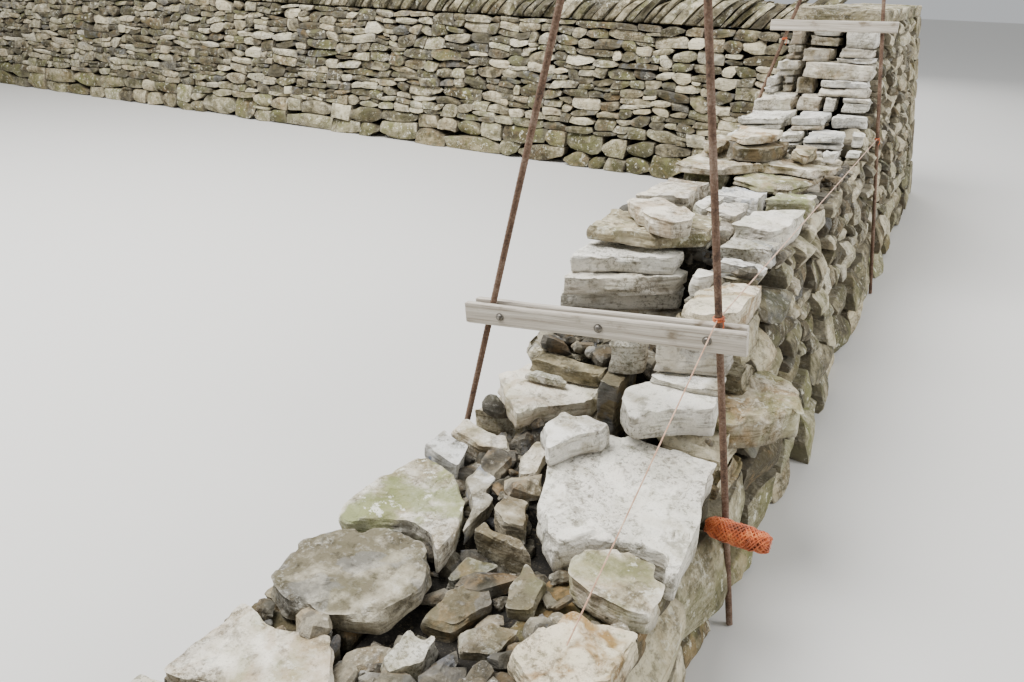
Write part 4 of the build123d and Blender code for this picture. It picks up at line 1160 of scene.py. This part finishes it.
# Each board's grain starts at its own place in the pattern, so that no two are alike
for node, seed, grain_start in (
        ("near_crossbar_front", 72, 1.4), ("near_crossbar_back", 73, 2.1), ("far_crossbar", 74, 2.8)):
    corners = eight_corners(*solids(node)[0])
    spans = [np.linalg.norm(np.take(corners, 1, a) - np.take(corners, 0, a), axis=-1).mean()
             for a in range(3)]
    cube, faces = box_skin((90, 5, 10))
    on_board = cube * np.array(spans) / 2
    # The arrises are rounded by 1 to 3 mm, differently from place to place, and every side is a little rough
    worn = 0.0012 + 0.0016 * broken(on_board, 0.06, seed, 2)
    near_edge = np.sort(np.abs(cube), axis=1)[:, 1] > 0.999
    points = between(corners, (1 + cube) / 2)
    inward = (corners.reshape(8, 3).mean(0) - points) * (0, 1, 1)
    inward = inward / np.maximum(np.linalg.norm(inward, axis=1, keepdims=True), 1e-9)
    dent = worn * near_edge * 0.9 + 0.0005 * broken(on_board, 0.012, seed + 4, 2)
    points = points + inward * dent[:, None]
    paint = {way: on_board[:, axis] + grain_start for way, axis in zip(grain_ways, (0, 2, 1))}
    mesh_piece(node + "_board", points, faces.ravel(), np.full(len(faces), 4), paint, timber,
               [node], crisp=50)

# Bolts through the near crossbars: zinc-plated steel, gone dull outdoors. Each has a washer and a domed head
# in front, and a washer and a hexagon nut behind.
zinc, tree, shader = new_material("zinc_plated_steel", Metallic=0.85)
place = add(tree, "TexCoord").outputs["Object"]
dull = add(tree, "TexNoise", {"Vector": place, "Scale": 1 / 0.006, "Detail": 4.0}).outputs[0]
colour = add(tree, "ValToRGB", {"Fac": dull}, stops=((0.35, "524d46"), (0.65, "918c84")))
tree.links.new(colour.outputs[0], shader.inputs["Base Color"])
rough = add(tree, "MapRange", {"Value": dull, "To Min": 0.35, "To Max": 0.65})
tree.links.new(rough.outputs[0], shader.inputs["Roughness"])


def turned_on(middle, profile, sides):
    """Rings of a profile of places along Y and radii, turned about a line through the middle."""
    angle = np.linspace(0, 2 * math.pi, sides, endpoint=False)
    x, z = np.cos(angle), np.sin(angle)
    return np.stack([np.stack([middle[0] + r * x, np.full(sides, y), middle[2] + r * z], 1)
                     for y, r in profile])


bolt_parts = []
head_high, head_wide, shank = 0.006, 0.0072, 0.004
washer_thick, washer_wide, nut_wide = 0.0015, 0.0095, 0.0075
for solid in solids("crossbar_bolts"):
    low, high, _ = box_of(*solid)
    middle, front, back = (low + high) / 2, low[1], high[1]
    face, rear = front + head_high, back - head_high
    under_head, under_nut = face - washer_thick, rear + washer_thick
    dome = [(under_head - (head_high - washer_thick) * math.cos(a), head_wide * math.sin(a))
            for a in np.linspace(0.12, math.pi / 2, 8)]
    washer = [(under_head, washer_wide), (face, washer_wide), (face, shank)]
    rear_washer = [(rear, shank), (rear, washer_wide), (under_nut, washer_wide), (under_nut, 0.005)]
    bolt_parts.append(turned_on(middle, dome + washer + rear_washer, 28))
    nut = [(under_nut, nut_wide - 0.0004), (under_nut, nut_wide),
           (back - 0.0006, nut_wide), (back, nut_wide - 0.0007)]
    bolt_parts.append(turned_on(middle, nut, 6))
tube_piece("crossbar_fixings", bolt_parts, zinc, ["crossbar_bolts"])

# Line: orange polypropylene twine of three strands, 3 mm, drawn tight from pin to pin and tied off on each.
# The yarn is bright where it is new, on the winder and the knots, and pale where sun and mud have dulled it.


def twine_of(name, dark, middle, light):
    """Laid-up polypropylene twine of these colours."""
    material, tree, shader = new_material(name, Roughness=0.6, Sheen_Weight=0.3)
    place = add(tree, "TexCoord").outputs["Object"]
    streaks = {"Vector": place, "Scale": 1 / 0.02, "Detail": 5.0, "Roughness": 0.7}
    yarn = add(tree, "TexNoise", streaks).outputs[0]
    tone = add(tree, "ValToRGB", {"Fac": yarn}, stops=((0.32, dark), (0.5, middle), (0.68, light)))
    tree.links.new(tone.outputs[0], shader.inputs["Base Color"])
    fibre = add(tree, "TexNoise", {"Vector": place, "Scale": 1 / 0.0008, "Detail": 2.0})
    bump = add(tree, "Bump", {"Height": fibre.outputs[0], "Strength": 0.5, "Distance": 0.0004})
    tree.links.new(bump.outputs[0], shader.inputs["Normal"])
    return material


orange_twine = twine_of("orange_twine", "7a3a1a", "c25a22", "e0884a")
faded_twine = twine_of("faded_twine", "9c7a60", "c79a7c", "dcc0a4")
line_radius, lay_pitch, line_step = 0.0015, 0.011, 0.0016


def laid_up(run, angle):
    """Radius of a three-strand twine: lobes that turn round it once for each pitch."""
    return line_radius * (0.74 + 0.26 * np.abs(np.cos(1.5 * (angle + 2 * math.pi * run / lay_pitch))))


for node, name in (("guide_line", "guide_twine"), ("line_tail", "tail_twine")):
    near, far = ends_of(*solids(node)[0], 1)
    count = round(np.linalg.norm(far - near) / line_step)
    path = near + (far - near) * np.linspace(0, 1, count)[:, None]
    tube_piece(name, [rings_along(path, laid_up, 8)], faded_twine, [node])

# Knots: the end of the line, wrapped four times round each pin over itself and pulled tight.
# The free end crosses the turns and hangs a little way down beside the pin.
wraps = []
turns, turn_lean, wrap_radius = 4, 0.0016, 0.0101
for solid in solids("line_knots"):
    low, high = ends_of(*solid, 2)
    t = np.linspace(0, 1, 260)
    spin = 2 * math.pi * turns * t
    level = 0.5 + 0.32 * (2 * t - 1) + 0.06 * np.sin(spin * 0.5)
    ring = wrap_radius + 0.0006 * np.sin(spin * 0.37 + 1)
    wrap = np.stack([ring * np.cos(spin), ring * np.sin(spin), turn_lean * np.sin(spin + 0.8)], 1)
    path = low + (high - low) * level[:, None] + wrap
    wraps.append(rings_along(path, laid_up, 9))
    s = np.linspace(0, 1, 60)
    loose = np.stack([0.004 * np.sin(3 * s), -0.004 - 0.006 * s, -0.034 * s - 0.004 * np.sin(5 * s)], 1)
    wraps.append(rings_along(path[-1] + loose, laid_up, 9))
tube_piece("line_lashings", wraps, orange_twine, ["line_knots"])

# Winder: the spare line, wound criss-cross on itself into a spindle and laid on the footing against the pin.
# The turns run from end to end and back while they go round, over a plain heart of the turns below them.
low, high, _ = box_of(*solids("line_winder")[0])
winder_middle, winder_reach = (low + high) / 2, (high - low) / 2


def girth(u):
    """Radius of the wound spindle at u from -1 to 1 along it."""
    share = np.interp(u, (-1, -0.75, -0.45, 0.4, 0.8, 1), (0.60, 0.88, 0.99, 0.99, 0.88, 0.60))
    return winder_reach[1] * share


passes, turns_each = 54, 1.27
heart_depth, wound_depth = 0.006, 0.0050
t = np.linspace(0, 1, 2600)
swing = 2 / math.pi * np.arcsin(np.sin(math.pi * (passes * t - 0.5)))
u = 0.93 * swing * (1 - 0.05 * np.sin(7 * t * math.pi))
spin = 2 * math.pi * turns_each * passes * t
wound = girth(u) - 0.0016 - wound_depth * (1 - t)
path = winder_middle + np.stack([winder_reach[0] * u, wound * np.cos(spin), wound * np.sin(spin)], 1)
heart_u = np.linspace(-0.96, 0.96, 40)
heart = winder_middle + np.stack([winder_reach[0] * heart_u, 0 * heart_u, 0 * heart_u], 1)
wound_tubes = [rings_along(path, line_radius, 7), rings_along(heart, girth(heart_u) - heart_depth, 32)]
tube_piece("wound_line", wound_tubes, orange_twine, ["line_winder"])

now_low, now_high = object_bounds()
sizes = {"cad": [list(cad_low), list(cad_high)], "visual": [list(now_low), list(now_high)]}
